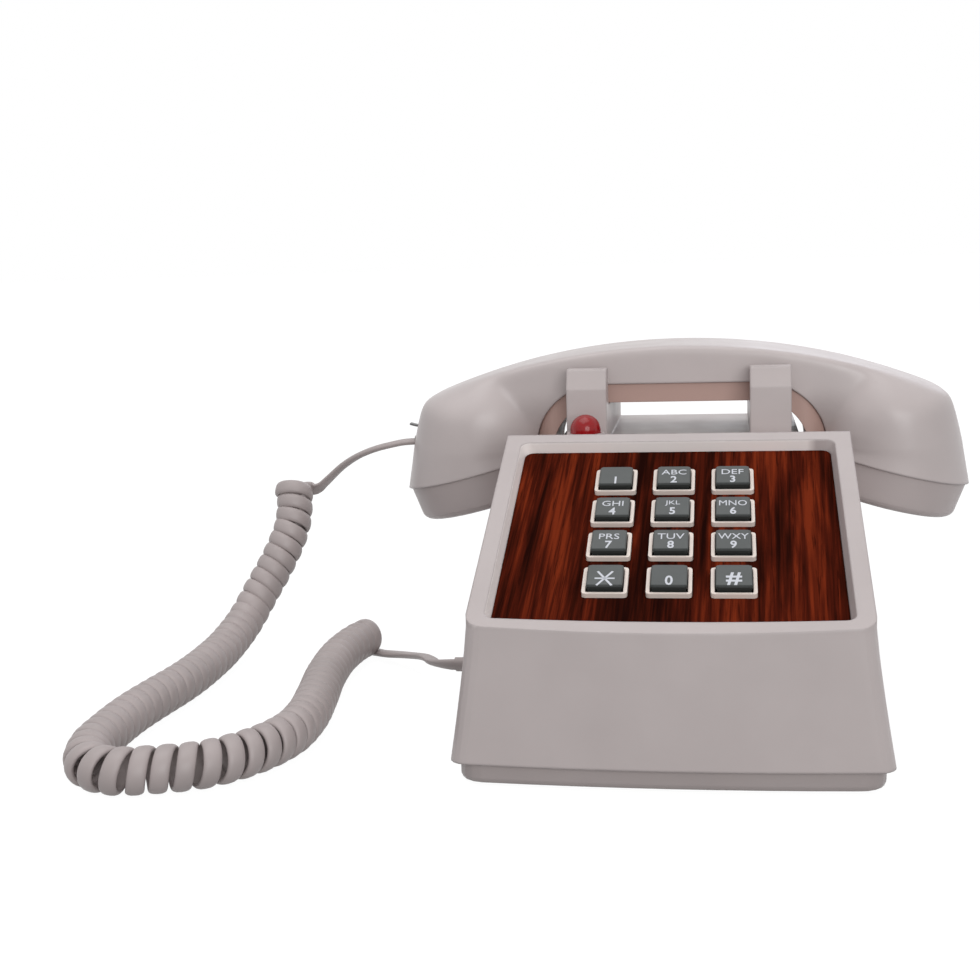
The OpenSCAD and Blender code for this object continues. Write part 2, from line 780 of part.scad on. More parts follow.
// One compression spring on the bracket's floor, its ends laid flat
module hook_spring() {
    steps = 12 * spring_turns;
    r = spring_r - spring_wire_r;
    z0 = bracket_z + bracket_t + spring_wire_r + 0.05;
    z1 = yoke_bottom - spring_wire_r - 0.05;
    loft([for (i = [0:steps]) let (
        a = 360 * spring_turns * i / steps,
        t = max(0, min(1, (i - 9) / (steps - 18)))
    ) wire_ring([r * cos(a), r * sin(a), mix(z0, z1, t)], [-sin(a), cos(a), 0], [cos(a), sin(a), 0],
        spring_wire_r, 6)]);
}
module hook_springs() color(steel) at_plungers() hook_spring();

tab_y = bracket_screw_y + boss_r + 2 * gap; // half depth of the bracket
module hook_bracket() color(steel) difference() {
    union() {
        box(-plunger_x - 6, plunger_x + 6, handset_y - tab_y, handset_y + tab_y, bracket_z, bracket_z + bracket_t);
        for (way = [-1, 1]) translate([0, handset_y, 0]) scale_y(way) {
            half = bracket_screw_x + boss_r;
            box(-half, half, tab_y - bracket_t, tab_y, bracket_z, bracket_top);
            box(-half, half, tab_y - 2 * boss_r, tab_y, bracket_top - bracket_t, bracket_top);
        }
    }
    at_bracket_screws() translate([0, 0, bracket_top - bracket_t - cut])
        cylinder(r = screw_slip, h = bracket_t + 2 * cut);
}
module scale_y(way) {
    if (way > 0) children();
    else mirror([0, 1, 0]) children();
}

module bracket_screws() color(steel)
    at_bracket_screws() translate([0, 0, bracket_top - bracket_t]) screw(bracket_t + bracket_bite);

module hook_switch() color(black) {
    top = yoke_bottom - 2.4;
    box(-8, 8, handset_y - 5, handset_y + 5, bracket_z + bracket_t, top);
    translate([0, handset_y, top - cut]) cylinder(r = 1.5, h = yoke_bottom - gap / 2 - top + cut);
}

// ---------- base ----------
pan_r = 8;
foot_peg_r = 2.5;
pan_floor = foot_h + pan_t;
lip_top = skirt_z + lip_h;
lip_hw = flare(lip_top) - wall - gap;
function lip_plan(inset) = plan(lip_hw - inset, front_y + lean(lip_top) + wall + gap + inset, rear_y - wall - gap - inset,
    front_bow, pan_r - 2 - inset, pan_r - inset);
pan_edge = 1.8; // easing of the pan's lower edge
function pan_plan(inset) = plan(pan_w / 2 - inset, front_y + pan_inset + inset, rear_y - pan_inset - inset,
    front_bow * 0.77, pan_r - inset, pan_r - inset);
board_y = rear_y - 84;
board_x = 42;
board_d = 50;
board_z = 12;
board_spots = [for (sx = [-1, 1], sy = [-1, 1]) [sx * (board_x - 4), board_y + sy * (board_d / 2 - 4)]];
sounder_y = front_y + 80;
sounder_r = 16;
foot_x = 44;
foot_spots = [for (side = [-1, 1], y = [front_y + 32, rear_y - 30]) [side * foot_x, y]];
plate_y = front_y + 36;
ballast_w = 72;
ballast_d = 34;
ballast_t = 5;

module base_pan() color(ivory_deep) {
    difference() {
        union() {
            loft([
                at_z(pan_plan(pan_edge), foot_h),
                at_z(pan_plan(pan_edge * 0.3), foot_h + pan_edge * 0.3),
                at_z(pan_plan(0), foot_h + pan_edge),
                at_z(pan_plan(0), skirt_z)
            ]);
            translate([0, 0, pan_floor]) linear_extrude(lip_top - pan_floor) polygon(lip_plan(0));
        }
        translate([0, 0, pan_floor]) linear_extrude(far) polygon(lip_plan(lip_w));
        box(jack_x - jack_w / 2 - gap, jack_x + jack_w / 2 + gap, rear_y - 2 * wall - lip_w, rear_y,
            jack_z - gap, far);
        for (x = [-9:6:9]) box(x - 1, x + 1, sounder_y - 9, sounder_y + 9, 0, pan_floor + cut);
        for (spot = foot_spots) translate([spot[0], spot[1], 0]) cylinder(r = foot_peg_r + pilot_fit, h = far);
        translate([-exit_x, -exit_y, exit_z]) rotate([0, 90, 0])
            cylinder(r = relief_collar_r + gap, h = 2 * (wall + lip_w));
        at_case_screws() cylinder(r = head_r + 0.6, h = pan_floor);
        at_case_screws() cylinder(r = screw_slip, h = far);
    }
    at_case_screws() translate([0, 0, pan_floor]) ring(boss_r, screw_slip, post_top - pan_floor);
    for (spot = board_spots) translate([spot[0], spot[1], pan_floor - cut / 2])
        ring(3, screw_hole, board_z - pan_floor + cut / 2);
    translate([0, sounder_y, pan_floor - cut / 2]) ring(sounder_r + 1.5, sounder_r + gap / 2, 4);
    for (side = [-1, 1]) box(side * (ballast_w / 2 + 1.2) - 1, side * (ballast_w / 2 + 1.2) + 1,
        plate_y - 12, plate_y + 12, pan_floor - cut / 2, pan_floor + 4);
    box(jack_x - 5, jack_x + 5, rear_y - jack_d, rear_y - jack_d + 8, pan_floor - cut / 2, jack_z);
    box(-switch_x - 5, -switch_x + 5, rear_y - wall - gap - switch_d, rear_y - wall - gap - 2,
        pan_floor - cut / 2, switch_z);
}

module rubber_feet() color(black) for (spot = foot_spots) translate([spot[0], spot[1], 0]) {
    cylinder(r = foot_r, h = foot_h);
    cylinder(r = foot_peg_r, h = pan_floor + 0.5);
}

module case_screws() color(steel)
    at_case_screws() translate([0, 0, pan_floor]) screw(post_top - pan_floor + screw_bite);

module ballast_plate() color("#6E7073")
    box(-ballast_w / 2, ballast_w / 2, plate_y - ballast_d / 2, plate_y + ballast_d / 2, pan_floor, pan_floor + ballast_t);

module sounder() color(black) translate([0, sounder_y, pan_floor]) {
    difference() {
        cylinder(r = sounder_r, h = 7);
        translate([0, 0, -cut]) cylinder(r = sounder_r - 3, h = 2 + cut);
    }
}

module main_board() color(board_green) difference() {
    box(-board_x, board_x, board_y - board_d / 2, board_y + board_d / 2, board_z, board_z + board_t);
    for (spot = board_spots) translate([spot[0], spot[1], board_z - cut]) cylinder(r = screw_slip, h = board_t + 2 * cut);
}

module board_screws() color(steel) for (spot = board_spots)
    translate([spot[0], spot[1], board_z + board_t]) mirror([0, 0, 1]) screw(7);

// Parts soldered to the main board: a line transformer, two capacitors and two chips
module board_parts() color("#3A3B40") translate([0, board_y, board_z + board_t]) {
    box(-30, -12, -9, 9, 0, 14);
    translate([2, -12, 0]) cylinder(r = 4, h = 12);
    translate([14, -12, 0]) cylinder(r = 4, h = 12);
    box(0, 16, 2, 9, 0, 3);
    box(22, 30, -4, 12, 0, 3);
}

module line_jack() color(black) difference() {
    box(jack_x - jack_w / 2, jack_x + jack_w / 2, rear_y - jack_d, rear_y, jack_z, jack_z + jack_h);
    box(jack_x - socket_w / 2, jack_x + socket_w / 2, rear_y - jack_d + 2, rear_y + cut,
        jack_z + jack_h / 2 - socket_h / 2, jack_z + jack_h / 2 + socket_h / 2);
}

switch_face = rear_y - wall - gap;
slider_d = 4;
slider_w = knob_w + 1.4;
module ringer_switch() color(black) difference() {
    box(-switch_x - switch_w / 2, -switch_x + switch_w / 2, switch_face - switch_d, switch_face,
        switch_z, switch_z + switch_h);
    box(-switch_x - (slider_w + knob_travel) / 2 - gap / 2, -switch_x + (slider_w + knob_travel) / 2 + gap / 2,
        switch_face - slider_d - gap / 2, switch_face + cut, switch_mid - 2.2 - gap / 2, switch_mid + 2.2 + gap / 2);
}

module ringer_knob() color(ivory) translate([-switch_x - knob_travel / 2, 0, 0]) {
    box(-slider_w / 2, slider_w / 2, switch_face - slider_d, switch_face, switch_mid - 2.2, switch_mid + 2.2);
    box(-knob_w / 2, knob_w / 2, switch_face - cut, rear_y, switch_mid - slot_h / 2 + gap / 2,
        switch_mid + slot_h / 2 - gap / 2);
}

// Tapered strain relief, held in the left wall by its inner collar
exit_x = flare(exit_z);
relief_end = exit_x + relief_len;
relief_collar_r = exit_r + 1.6; // inside the wall
module strain_relief() color(ivory_deep) translate([-relief_end, -exit_y, exit_z]) rotate([0, 90, 0])
    rotate_extrude() polygon([
        [0, 0],
        [leader_d / 2 + 0.2, 0],
        [exit_r - 0.2, relief_len - 1],
        [exit_r - 0.2, relief_len + wall + 2 * gap],
        [relief_collar_r, relief_len + wall + 2 * gap],
        [relief_collar_r, relief_len + wall + 2 * gap + 1.5],
        [0, relief_len + wall + 2 * gap + 1.5]
    ]);

// ---------- handset ----------
tilt_in = [cos(cup_tilt), -sin(cup_tilt)]; // along the seam, outwards
seam_out = [cup_x, cup_h] + cup_r * tilt_in; // the seam's outer end
slit = 0.8; // half width of the outer shell's slit at a seam's inner end
grip_xs = [0, 9.6, 19.2]; // sections of the straight grip
arch_angles = [90, 82, 74, 66, 58, 50, 43, 36, 30, 24, 18, 12, 6, 0];
round_steps = 10; // points from a section's edge to its top

// Distance from an arch's centre out to the handset's top arc, and to its leaning end
function to_top(a) = let (
    b = grip_half * cos(a) + (arch_z - top_h + top_r) * sin(a),
    c = pow(grip_half, 2) + pow(arch_z - top_h + top_r, 2) - pow(top_r, 2)
) sqrt(b * b - c) - b;
function to_end(a) = (seam_out[0] - grip_half - (arch_z - seam_out[1]) * tan(end_lean))
    / (cos(a) + sin(a) * tan(end_lean));
corner_power = 36; // higher is a tighter corner between top and end
function to_skin(a) = to_end(a) * pow(1 + pow(to_end(a) / to_top(a), corner_power), -1 / corner_power);

// Half depth of the handle's lower edge at distance x from the middle
arch_end = grip_half + arch_r;
function edge_depth(x) = let (u = max(0, min(1, (x - neck_x) / (arch_end - neck_x))))
    handle_d / 2 * sqrt(1 - neck_narrow * u * u);

// A section: edge point, direction, length, half depth, half depth of its edge and its roundness
function grip_section(x) = [[x, edge_h], [0, 1], top_h - top_r + sqrt(pow(top_r, 2) - x * x) - edge_h,
    handle_d / 2, handle_d / 2, 0];
function arch_section(a) = let (d = [cos(a), sin(a)]) [
    [grip_half, arch_z] + arch_r * d,
    d,
    to_skin(a) - arch_r,
    mix(handle_d / 2, cup_r, smooth((50 - a) / 38)),
    edge_depth(grip_half + arch_r * cos(a)),
    smooth((45 - a) / 55)
];
seam_section = [[cup_x, cup_h] - cup_r * tilt_in, tilt_in, 2 * cup_r, cup_r, slit, 1];

// Half depth of a section at share t of its length, as a share of its greatest half depth
function section_share(t, edge, roundness) = let (
    inner = t >= 0.5 ? 1 : sqrt(edge * edge + (1 - edge * edge) * (1 - pow(1 - 2 * t, 2))),
    disc = t <= 0.5 ? 1 : sqrt(max(0, 1 - pow(2 * t - 1, 2))),
    slab = pow(max(0, 1 - pow(t, 4)), 0.25)
) inner * mix(slab, disc, roundness);

// Points of a section from its front edge over the top to its rear edge, drawn in by inset
function section_points(s, side, inset) = let (
    share = s[4] / s[3],
    depth = s[3] - inset,
    start = s[0] + inset * (1 - share) * s[1],
    len = s[2] - inset * (2 - share),
    half = [for (j = [0:round_steps]) let (t = (1 - cos(180 * j / round_steps)) / 2)
        [start[0] + t * len * s[1][0], start[1] + t * len * s[1][1], depth * section_share(t, share, s[5])]]
) concat(
    [for (p = half) [side * p[0], handset_y - p[2], p[1]]],
    [for (j = [round_steps - 1:-1:0]) [side * half[j][0], handset_y + half[j][2], half[j][1]]]
);

half_sections = concat([for (x = grip_xs) grip_section(x)], [for (a = arch_angles) arch_section(a)], [seam_section]);
function all_sections(inset) = concat(
    [for (i = [len(half_sections) - 1:-1:1]) section_points(half_sections[i], -1, inset)],
    [for (s = half_sections) section_points(s, 1, inset)]
);

// Closed shell between an outer and an inner grid of equal size, open along their edges
module shell(outer, inner) {
    m = len(outer);
    n = len(outer[0]);
    inside = m * n;
    quads = concat(
        [for (k = [0:m - 2], j = [0:n - 2]) [k * n + j, k * n + j + 1, (k + 1) * n + j + 1, (k + 1) * n + j]],
        [for (k = [0:m - 2], j = [0:n - 2]) inside * [1, 1, 1, 1]
            + [k * n + j, (k + 1) * n + j, (k + 1) * n + j + 1, k * n + j + 1]],
        [for (k = [0:m - 2]) [k * n, (k + 1) * n, inside + (k + 1) * n, inside + k * n]],
        [for (k = [1:m - 1]) [k * n + n - 1, (k - 1) * n + n - 1, inside + (k - 1) * n + n - 1, inside + k * n + n - 1]],
        [for (j = [1:n - 1]) [j, j - 1, inside + j - 1, inside + j]],
        [for (j = [0:n - 2]) let (k = (m - 1) * n) [k + j, k + j + 1, inside + k + j + 1, inside + k + j]]
    );
    polyhedron(
        points = [for (r = outer) each r, for (r = inner) each r],
        faces = [for (q = quads) each [[q[0], q[1], q[2]], [q[0], q[2], q[3]]]]
    );
}

jack_box = 12; // height and width of the handset jack
jack_face = seam_out[0] - (plug_z + jack_box / 2 - seam_out[1]) * tan(end_lean) - 3.6;
plug_fit = 0.2;
post_at = 20; // distance from the middle to a handset screw
underside = edge_h - inner_drop; // height of the handle's underside
module handset_outer_shell() color(ivory) difference() {
    union() {
        shell(all_sections(0), all_sections(shell_t));
        both_sides() translate([post_at, handset_y, underside + shell_t + gap])
            cylinder(r = post_r, h = top_h - shell_t - underside - shell_t);
    }
    both_sides() translate([post_at, handset_y, 0]) cylinder(r = screw_hole, h = edge_h + 6);
    box(-plug_x - cut, -jack_face + cut, handset_y - plug_w / 2 - plug_fit, handset_y + plug_w / 2 + plug_fit,
        plug_z - plug_h / 2 - plug_fit, plug_z + plug_h / 2 + plug_fit);
}

// Side view of a band about the arches, between two radii
module arch_band(low, high) {
    difference() {
        union() {
            translate([-grip_half, arch_z]) square([2 * grip_half, high]);
            for (side = [-1, 1]) intersection() {
                translate([side * grip_half, arch_z]) circle(r = high, $fn = 96);
                translate([-far, arch_z]) square([2 * far, far]);
            }
        }
        translate([-grip_half, 0]) square([2 * grip_half, arch_z + low]);
        for (side = [-1, 1]) translate([side * grip_half, arch_z]) circle(r = low, $fn = 96);
    }
}

// Foot of the inner shell's arch, down to the cap and clear of the outer shell's seam
module arch_foot() {
    low = arch_z - 4.4;
    x0 = grip_half + arch_low;
    x1 = seam_section[0][0] - gap;
    for (side = [1, 0]) mirror([1 - side, 0]) polygon([
        [x0, low],
        [arch_end, low],
        [arch_end, seam_at(arch_end) - gap / 2],
        [x1, seam_at(x1) - gap / 2],
        [x1, arch_z + cut],
        [x0, arch_z + cut]
    ]);
}
function seam_at(x) = cup_h - (x - cup_x) * tan(cup_tilt);

// The handle's plan drawn in by inset
module handle_plan(inset) {
    xs = [for (i = [0:8]) mix(neck_x, arch_end, i / 8)];
    half = [for (x = xs) [x, edge_depth(x) - inset]];
    translate([0, handset_y]) polygon(concat(
        [for (p = half) [p[0], -p[1]]],
        [for (p = reverse(half)) [p[0], p[1]]],
        [for (p = half) [-p[0], p[1]]],
        [for (p = reverse(half)) [-p[0], -p[1]]]
    ));
}

cap_r = cup_r - shell_step;
cap_low_r = cap_r - cap_taper;
module at_cup(side) {
    scale_x(side) translate([cup_x, handset_y, cup_h]) rotate([0, cup_tilt, 0]) children();
}
module scale_x(side) {
    if (side > 0) children();
    else mirror([1, 0, 0]) children();
}
function cap_outline(inset) = concat(
    [[0, -cap_d + inset]],
    arc([cap_low_r - cap_edge_r, -cap_d + cap_edge_r], cap_edge_r - inset * 0.9, -90, 0, 5)
);
module cap_solid() rotate_extrude() polygon(concat(cap_outline(0), [[cap_r, 0], [0, 0]]));
module cap_space() rotate_extrude() polygon(concat(
    [[0, -cap_d + shell_t]],
    [[cap_low_r - cap_edge_r, -cap_d + shell_t], [cap_low_r - shell_t, -cap_d + cap_edge_r]],
    [[cap_r - shell_t, cut], [0, cut]]
));
module sound_holes() {
    translate([0, 0, -cap_d - cut]) cylinder(r = 1.3, h = shell_t + 2 * cut);
    for (a = [0:60:300]) rotate(a) translate([6.5, 0, -cap_d - cut]) cylinder(r = 1.3, h = shell_t + 2 * cut);
}

module handset_inner_shell() color(ivory_deep) difference() {
    union() {
        intersection() {
            translate([0, far, 0]) rotate([90, 0, 0]) linear_extrude(2 * far) {
                arch_band(arch_low, arch_r);
                arch_foot();
            }
            linear_extrude(far) handle_plan(shell_step);
        }
        for (side = [-1, 1]) at_cup(side) cap_solid();
    }
    intersection() {
        translate([0, far, 0]) rotate([90, 0, 0]) linear_extrude(2 * far) arch_band(arch_low + shell_t, arch_r + cut);
        linear_extrude(far) handle_plan(shell_step + shell_t);
    }
    for (side = [-1, 1]) at_cup(side) {
        cap_space();
        sound_holes();
    }
    both_sides() translate([post_at, handset_y, underside - cut]) cylinder(r = screw_slip, h = shell_t + 2 * cut);
    both_sides() translate([post_at, handset_y, underside - cut]) cylinder(r = head_r + 0.3, h = cut + 1.2);
}

module receiver_capsule() color(black) at_cup(1) translate([0, 0, -cap_d + shell_t]) {
    cylinder(r = receiver_r, h = 7);
    cylinder(r = receiver_r * 0.6, h = 9);
}
module microphone_capsule() color(black) at_cup(-1) translate([0, 0, -cap_d + shell_t]) {
    cylinder(r = microphone_r, h = 6);
    cylinder(r = microphone_r * 0.5, h = 8);
}

module handset_weight() color("#6E7073")
    box(post_r + gap - post_at, post_at - post_r - gap, handset_y - weight_d / 2, handset_y + weight_d / 2,
        underside + shell_t, underside + shell_t + weight_h);

module handset_screws() color(steel) both_sides() translate([post_at, handset_y, underside + 1.2]) {
    translate([0, 0, -0.9]) cylinder(r = head_r, h = 0.9);
    translate([0, 0, -cut / 4]) cylinder(r = screw_r, h = 11);
}

module handset_jack() color(black) difference() {
    box(-jack_face, -jack_face + 9, handset_y - jack_box / 2, handset_y + jack_box / 2,
        plug_z - jack_box / 2, plug_z + jack_box / 2);
    box(-jack_face - cut, -plug_x + plug_len + plug_fit, handset_y - plug_w / 2 - plug_fit,
        handset_y + plug_w / 2 + plug_fit, plug_z - plug_h / 2 - plug_fit, plug_z + plug_h / 2 + plug_fit);
}

module handset_plug() color("#D9D6D2") {
    box(-plug_x + 5, -plug_x + plug_len, handset_y - plug_w / 2, handset_y + plug_w / 2,
        plug_z - plug_h / 2, plug_z + plug_h / 2);
    translate([-plug_x, handset_y, plug_z]) rotate([0, 90, 0]) cylinder(r1 = leader_d / 2 + 0.3, r2 = plug_h / 2, h = 5.01);
}

// ---------- cord ----------
coil_z = 7.5;
coil_route = [
    [-153, 59, 64], [-153, 60, 55], [-155, 60, 46], [-159, 60, 38], [-163, 58, 30], [-168, 54, 21],
    [-172, 46, 12], [-172, 23, coil_z], [-171, -3, coil_z], [-173, -27, coil_z], [-177, -43, coil_z],
    [-181, -59, coil_z], [-182, -79, coil_z], [-180, -97, coil_z], [-173, -111, coil_z], [-164, -114, coil_z],
    [-151, -111, coil_z], [-138, -106, coil_z], [-128, -96, coil_z], [-119, -78, coil_z], [-118, -61, coil_z],
    [-121, -41, coil_z], [-126, -15, coil_z], [-128, 14, coil_z], [-125, 29, coil_z], [-120, 41, coil_z]
];
handset_route = [
    [-plug_x, handset_y, plug_z], [-plug_x - 3, handset_y, plug_z], [-114, 61, 79.4], [-120, 60, 77.8], [-126, 60, 75],
    [-132, 59, 71.4], [-138.6, 59, 67], [-144.4, 59, 61.6]
];
base_route = [
    [-relief_end, -exit_y, exit_z], [-relief_end - 3, -exit_y, exit_z], [-84, -21.5, 14.5], [-90.5, -13.5, 13.2],
    [-95.5, -3, 11.2], [-100, 8, 8.6], [-105, 18, 5.8], [-110.5, 25.5, 3.8], [-117, 29.2, 2.9]
];

function way(route, i) = unit(route[min(i + 1, len(route) - 1)] - route[max(i - 1, 0)]);
// Side vectors along a route, each carried on from the last without twist
function carry(route, i, u) = i == len(route) ? [] : let (
    d = way(route, i),
    v = unit(u - (u * d) * d)
) concat([v], carry(route, i + 1, v));
module tube(route, r, n) {
    us = carry(route, 0, [0, 1, 0.01]);
    loft([for (i = [0:len(route) - 1]) wire_ring(route[i], way(route, i), us[i], r, n)]);
}

module handset_leader() color(ivory_deep) tube(handset_route, leader_d / 2, 8);
module curly_cord() color(ivory_deep) tube(coil_route, coil_d / 2, 12);
module base_leader() color(ivory_deep) tube(base_route, leader_d / 2, 8);

base_pan();
housing();
faceplate();
key_frames();
key(-1, 3);  // key_1
key(0, 3);  // key_2
key(1, 3);  // key_3
key(-1, 2);  // key_4
key(0, 2);  // key_5
key(1, 2);  // key_6
key(-1, 1);  // key_7
key(0, 1);  // key_8
key(1, 1);  // key_9
key(-1, 0);  // key_star
key(0, 0);  // key_0
key(1, 0);  // key_hash
key_mat();
keypad_board();
keypad_screws();
message_lamp();
lamp_collar();
lamp_holder();
lamp_led();
mirror([1, 0, 0]) hook_plunger();  // hook_plunger_left
hook_plunger();  // hook_plunger_right
hook_yoke();
hook_springs();
hook_bracket();
hook_switch();
bracket_screws();
main_board();
board_parts();
board_screws();
sounder();
ballast_plate();
rubber_feet();
case_screws();
line_jack();
ringer_switch();
ringer_knob();
strain_relief();
handset_outer_shell();
handset_inner_shell();
receiver_capsule();
microphone_capsule();
handset_weight();
handset_screws();
handset_jack();
handset_plug();
handset_leader();
curly_cord();
base_leader();
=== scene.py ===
# %% [markdown]
# # A push-button desk telephone
#
# The telephone comes in as a frame: every plastic moulding, screw and circuit board is
# already there, in metres, standing on the table at z = 0. This lesson dresses it. It
# sets up a camera and a pale studio, lays the curly cord, gives the large mouldings
# their final skins, prints the keys, and mixes a material for every surface.
#
# The frame is loaded first. Nothing that is added may make the telephone bigger.

# %% Load the frame
import math

import bpy
import numpy as np
from mathutils import Matrix, Vector


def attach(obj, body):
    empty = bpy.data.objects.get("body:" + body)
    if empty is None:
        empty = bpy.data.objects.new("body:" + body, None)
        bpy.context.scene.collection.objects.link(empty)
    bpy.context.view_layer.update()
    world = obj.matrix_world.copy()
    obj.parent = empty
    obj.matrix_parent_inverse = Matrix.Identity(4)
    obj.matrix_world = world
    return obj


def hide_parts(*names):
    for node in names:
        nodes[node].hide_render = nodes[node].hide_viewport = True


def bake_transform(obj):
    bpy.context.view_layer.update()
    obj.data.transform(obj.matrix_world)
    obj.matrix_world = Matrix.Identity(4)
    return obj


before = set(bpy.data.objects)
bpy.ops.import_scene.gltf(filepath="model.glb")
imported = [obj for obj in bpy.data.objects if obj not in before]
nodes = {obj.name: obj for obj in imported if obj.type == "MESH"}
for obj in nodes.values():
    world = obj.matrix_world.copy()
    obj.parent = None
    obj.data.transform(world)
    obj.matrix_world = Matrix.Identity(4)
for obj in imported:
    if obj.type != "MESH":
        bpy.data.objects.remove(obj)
scene = bpy.context.scene
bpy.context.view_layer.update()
MM = 0.001

# %% [markdown]
# ## Camera
#
# The telephone is seen from a little above the desk, so that the keypad faces the
# camera. A long lens keeps the sides nearly parallel. The camera's axes are worked out
# from three angles, which is easier to correct by hand than a matrix: yaw turns it
# left, pitch tips it down and roll leans it.

# %% Camera
yaw, pitch, roll = (math.radians(a) for a in (9.07, 9.79, -1.94))
forward = Vector((-math.sin(yaw) * math.cos(pitch), math.cos(yaw) * math.cos(pitch),
                  -math.sin(pitch)))
level_right = Vector((math.cos(yaw), math.sin(yaw), 0))
level_up = level_right.cross(forward)
camera_right = math.cos(roll) * level_right + math.sin(roll) * level_up
camera_up = camera_right.cross(forward)
camera = bpy.data.objects.new("camera", bpy.data.cameras.new("camera"))
camera.data.lens, camera.data.sensor_width = 55.1, 36
camera_place = Vector((16.85, -512.26, 160.58)) * MM
turn = Matrix((camera_right, camera_up, -forward)).transposed()
camera.matrix_world = Matrix.Translation(camera_place) @ turn.to_4x4()
scene.collection.objects.link(camera)
scene.camera = camera
print("camera looks along", [round(v, 3) for v in forward])

# %% [markdown]
# ## Surfaces as grids
#
# Most new pieces here are grids: rows of points, each row the same length, worked out
# as one numpy array. One helper lists the faces between neighbouring points, closing
# the grid round its columns where the rows are rings, and another puts the arrays into
# a mesh. A third caps the first and last ring of a tube, so that no hole is left. The
# rings are often circles that lean towards a square; a power below one does that.

# %% Grid helpers
def grid_faces(rows, columns, round_columns=False):
    """Quads between neighbours of a rows x columns grid of points; the columns wrap if asked."""
    r = np.arange(rows - 1)[:, None]
    c = np.arange(columns if round_columns else columns - 1)[None, :]
    next_c = (c + 1) % columns
    corners = [r * columns + c, r * columns + next_c,
               (r + 1) * columns + next_c, (r + 1) * columns + c]
    return np.stack(corners, -1).reshape(-1, 4)


def put_mesh(name, points, faces, material=None, caps=(), smooth_angle=40):
    """Makes an object from points in metres and faces; caps are more faces, of any length."""
    mesh = bpy.data.meshes.new(name)
    all_faces = np.asarray(faces).tolist() + [list(c) for c in caps]
    mesh.from_pydata(np.asarray(points).reshape(-1, 3).tolist(), [], all_faces)
    mesh.polygons.foreach_set("use_smooth", np.ones(len(mesh.polygons), bool))
    mesh.set_sharp_from_angle(angle=math.radians(smooth_angle))
    mesh.update()
    obj = bpy.data.objects.new(name, mesh)
    if material:
        mesh.materials.append(material)
    scene.collection.objects.link(obj)
    print(f"{name}: {len(mesh.vertices)} points, {len(mesh.polygons)} faces")
    return obj


def end_caps(rings, size):
    """The two flat faces that close a tube of that many rings of that many points."""
    return [list(range(size))[::-1], list(range((rings - 1) * size, rings * size))]


def bent(values, power):
    """Values of -1 to 1 raised to a power, with their signs kept."""
    return np.sign(values) * np.abs(values) ** power


def unit(v):
    """Vectors along the last axis, scaled to length one."""
    v = np.asarray(v, float)
    return v / np.linalg.norm(v, axis=-1, keepdims=True)


def smooth_step(t):
    """Rises from 0 to 1 with level ends: three t squared less two t cubed."""
    t = np.clip(t, 0, 1)
    return t * t * (3 - 2 * t)


print("a grid of 3 rows of 4 points has", len(grid_faces(3, 4)), "faces")

# %% [markdown]
# ## The curly cord's route
#
# A handset cord is one flat ribbon of vinyl, 5.6 mm wide and 2.5 mm thick, wound hot
# about a rod and left to set. Two metres and three quarters of it go into 68 turns,
# 14.5 mm across. At each end the ribbon leaves its last turn and runs on straight: one
# end to the plug in the handset, the other into the housing's side.
#
# The coil's middle line hangs from the handset, reaches the table and lies in a loose
# bend round the front. It is a smooth curve through a few dozen points: between two
# points, a cubic leaves and arrives along the direction that joins their neighbours.

# %% Route of the coil
coil_points = np.array([
    [-118.5, 41, 7.5], [-122.5, 29, 7.5], [-124.5, 14, 7.5], [-123.5, -15, 7.5],
    [-120, -41, 7.5], [-118, -61, 7.5], [-119, -78, 7.5], [-127, -96, 7.5],
    [-137, -106, 7.5], [-150, -111, 7.5], [-162, -113, 7.5], [-170.5, -109.5, 7.5],
    [-176.5, -97, 7.5], [-178, -79, 7.5], [-177.5, -59, 7.5], [-175.5, -43, 7.5],
    [-173, -27, 7.6], [-171.5, -3, 7.8], [-171, 20, 9.2], [-169, 37, 14.4],
    [-165, 45, 23.2], [-160.8, 51, 31.6], [-157.6, 55.5, 39], [-155.3, 59.5, 46.4],
    [-155, 64, 55], [-156.4, 69, 64.2]], float) * MM


def smooth_route(points, first=None, last=None, per_span=24):
    """A cubic through the points; first and last set the directions at its ends."""
    p = np.asarray(points, float)
    span = np.linalg.norm(np.diff(p, axis=0), axis=1)
    heading = np.gradient(p, np.concatenate([[0], np.cumsum(span)]), axis=0)
    if first is not None:
        heading[0] = first
    if last is not None:
        heading[-1] = last
    t = np.linspace(0, 1, per_span, endpoint=False)[None, :, None]
    a, b, h = p[:-1, None], p[1:, None], span[:, None, None]
    curve = ((1 + 2 * t) * (1 - t) ** 2 * a + t * (1 - t) ** 2 * h * heading[:-1, None]
             + t * t * (3 - 2 * t) * b + t * t * (t - 1) * h * heading[1:, None])
    return np.concatenate([curve.reshape(-1, 3), p[-1:]])


def along(curve, distances):
    """Points at given distances along a curve of closely spaced points."""
    steps = np.linalg.norm(np.diff(curve, axis=0), axis=1)
    d = np.concatenate([[0], np.cumsum(steps)])
    return np.stack([np.interp(distances, d, curve[:, k]) for k in range(3)], -1), d[-1]


coil_line = smooth_route(coil_points)
coil_length = along(coil_line, [0])[1]
print("the coil's middle line is", round(coil_length * 1000), "mm long")

# %% [markdown]
# ## Turns about the route
#
# To wind the ribbon, two directions square to the route are carried along it without
# twist, and the ribbon's middle turns about the route between them. The turns lie
# close, 5.7 mm apart, except round the front, where the bend pulls them open to
# 6.6 mm. Every turn is left-handed. The winding starts at the bottom of the coil,
# where the ribbon arrives from the housing, and ends at its back, where it leaves for
# the handset. The last turn is a little wider and leans outwards, as the pull of the
# leader makes it.

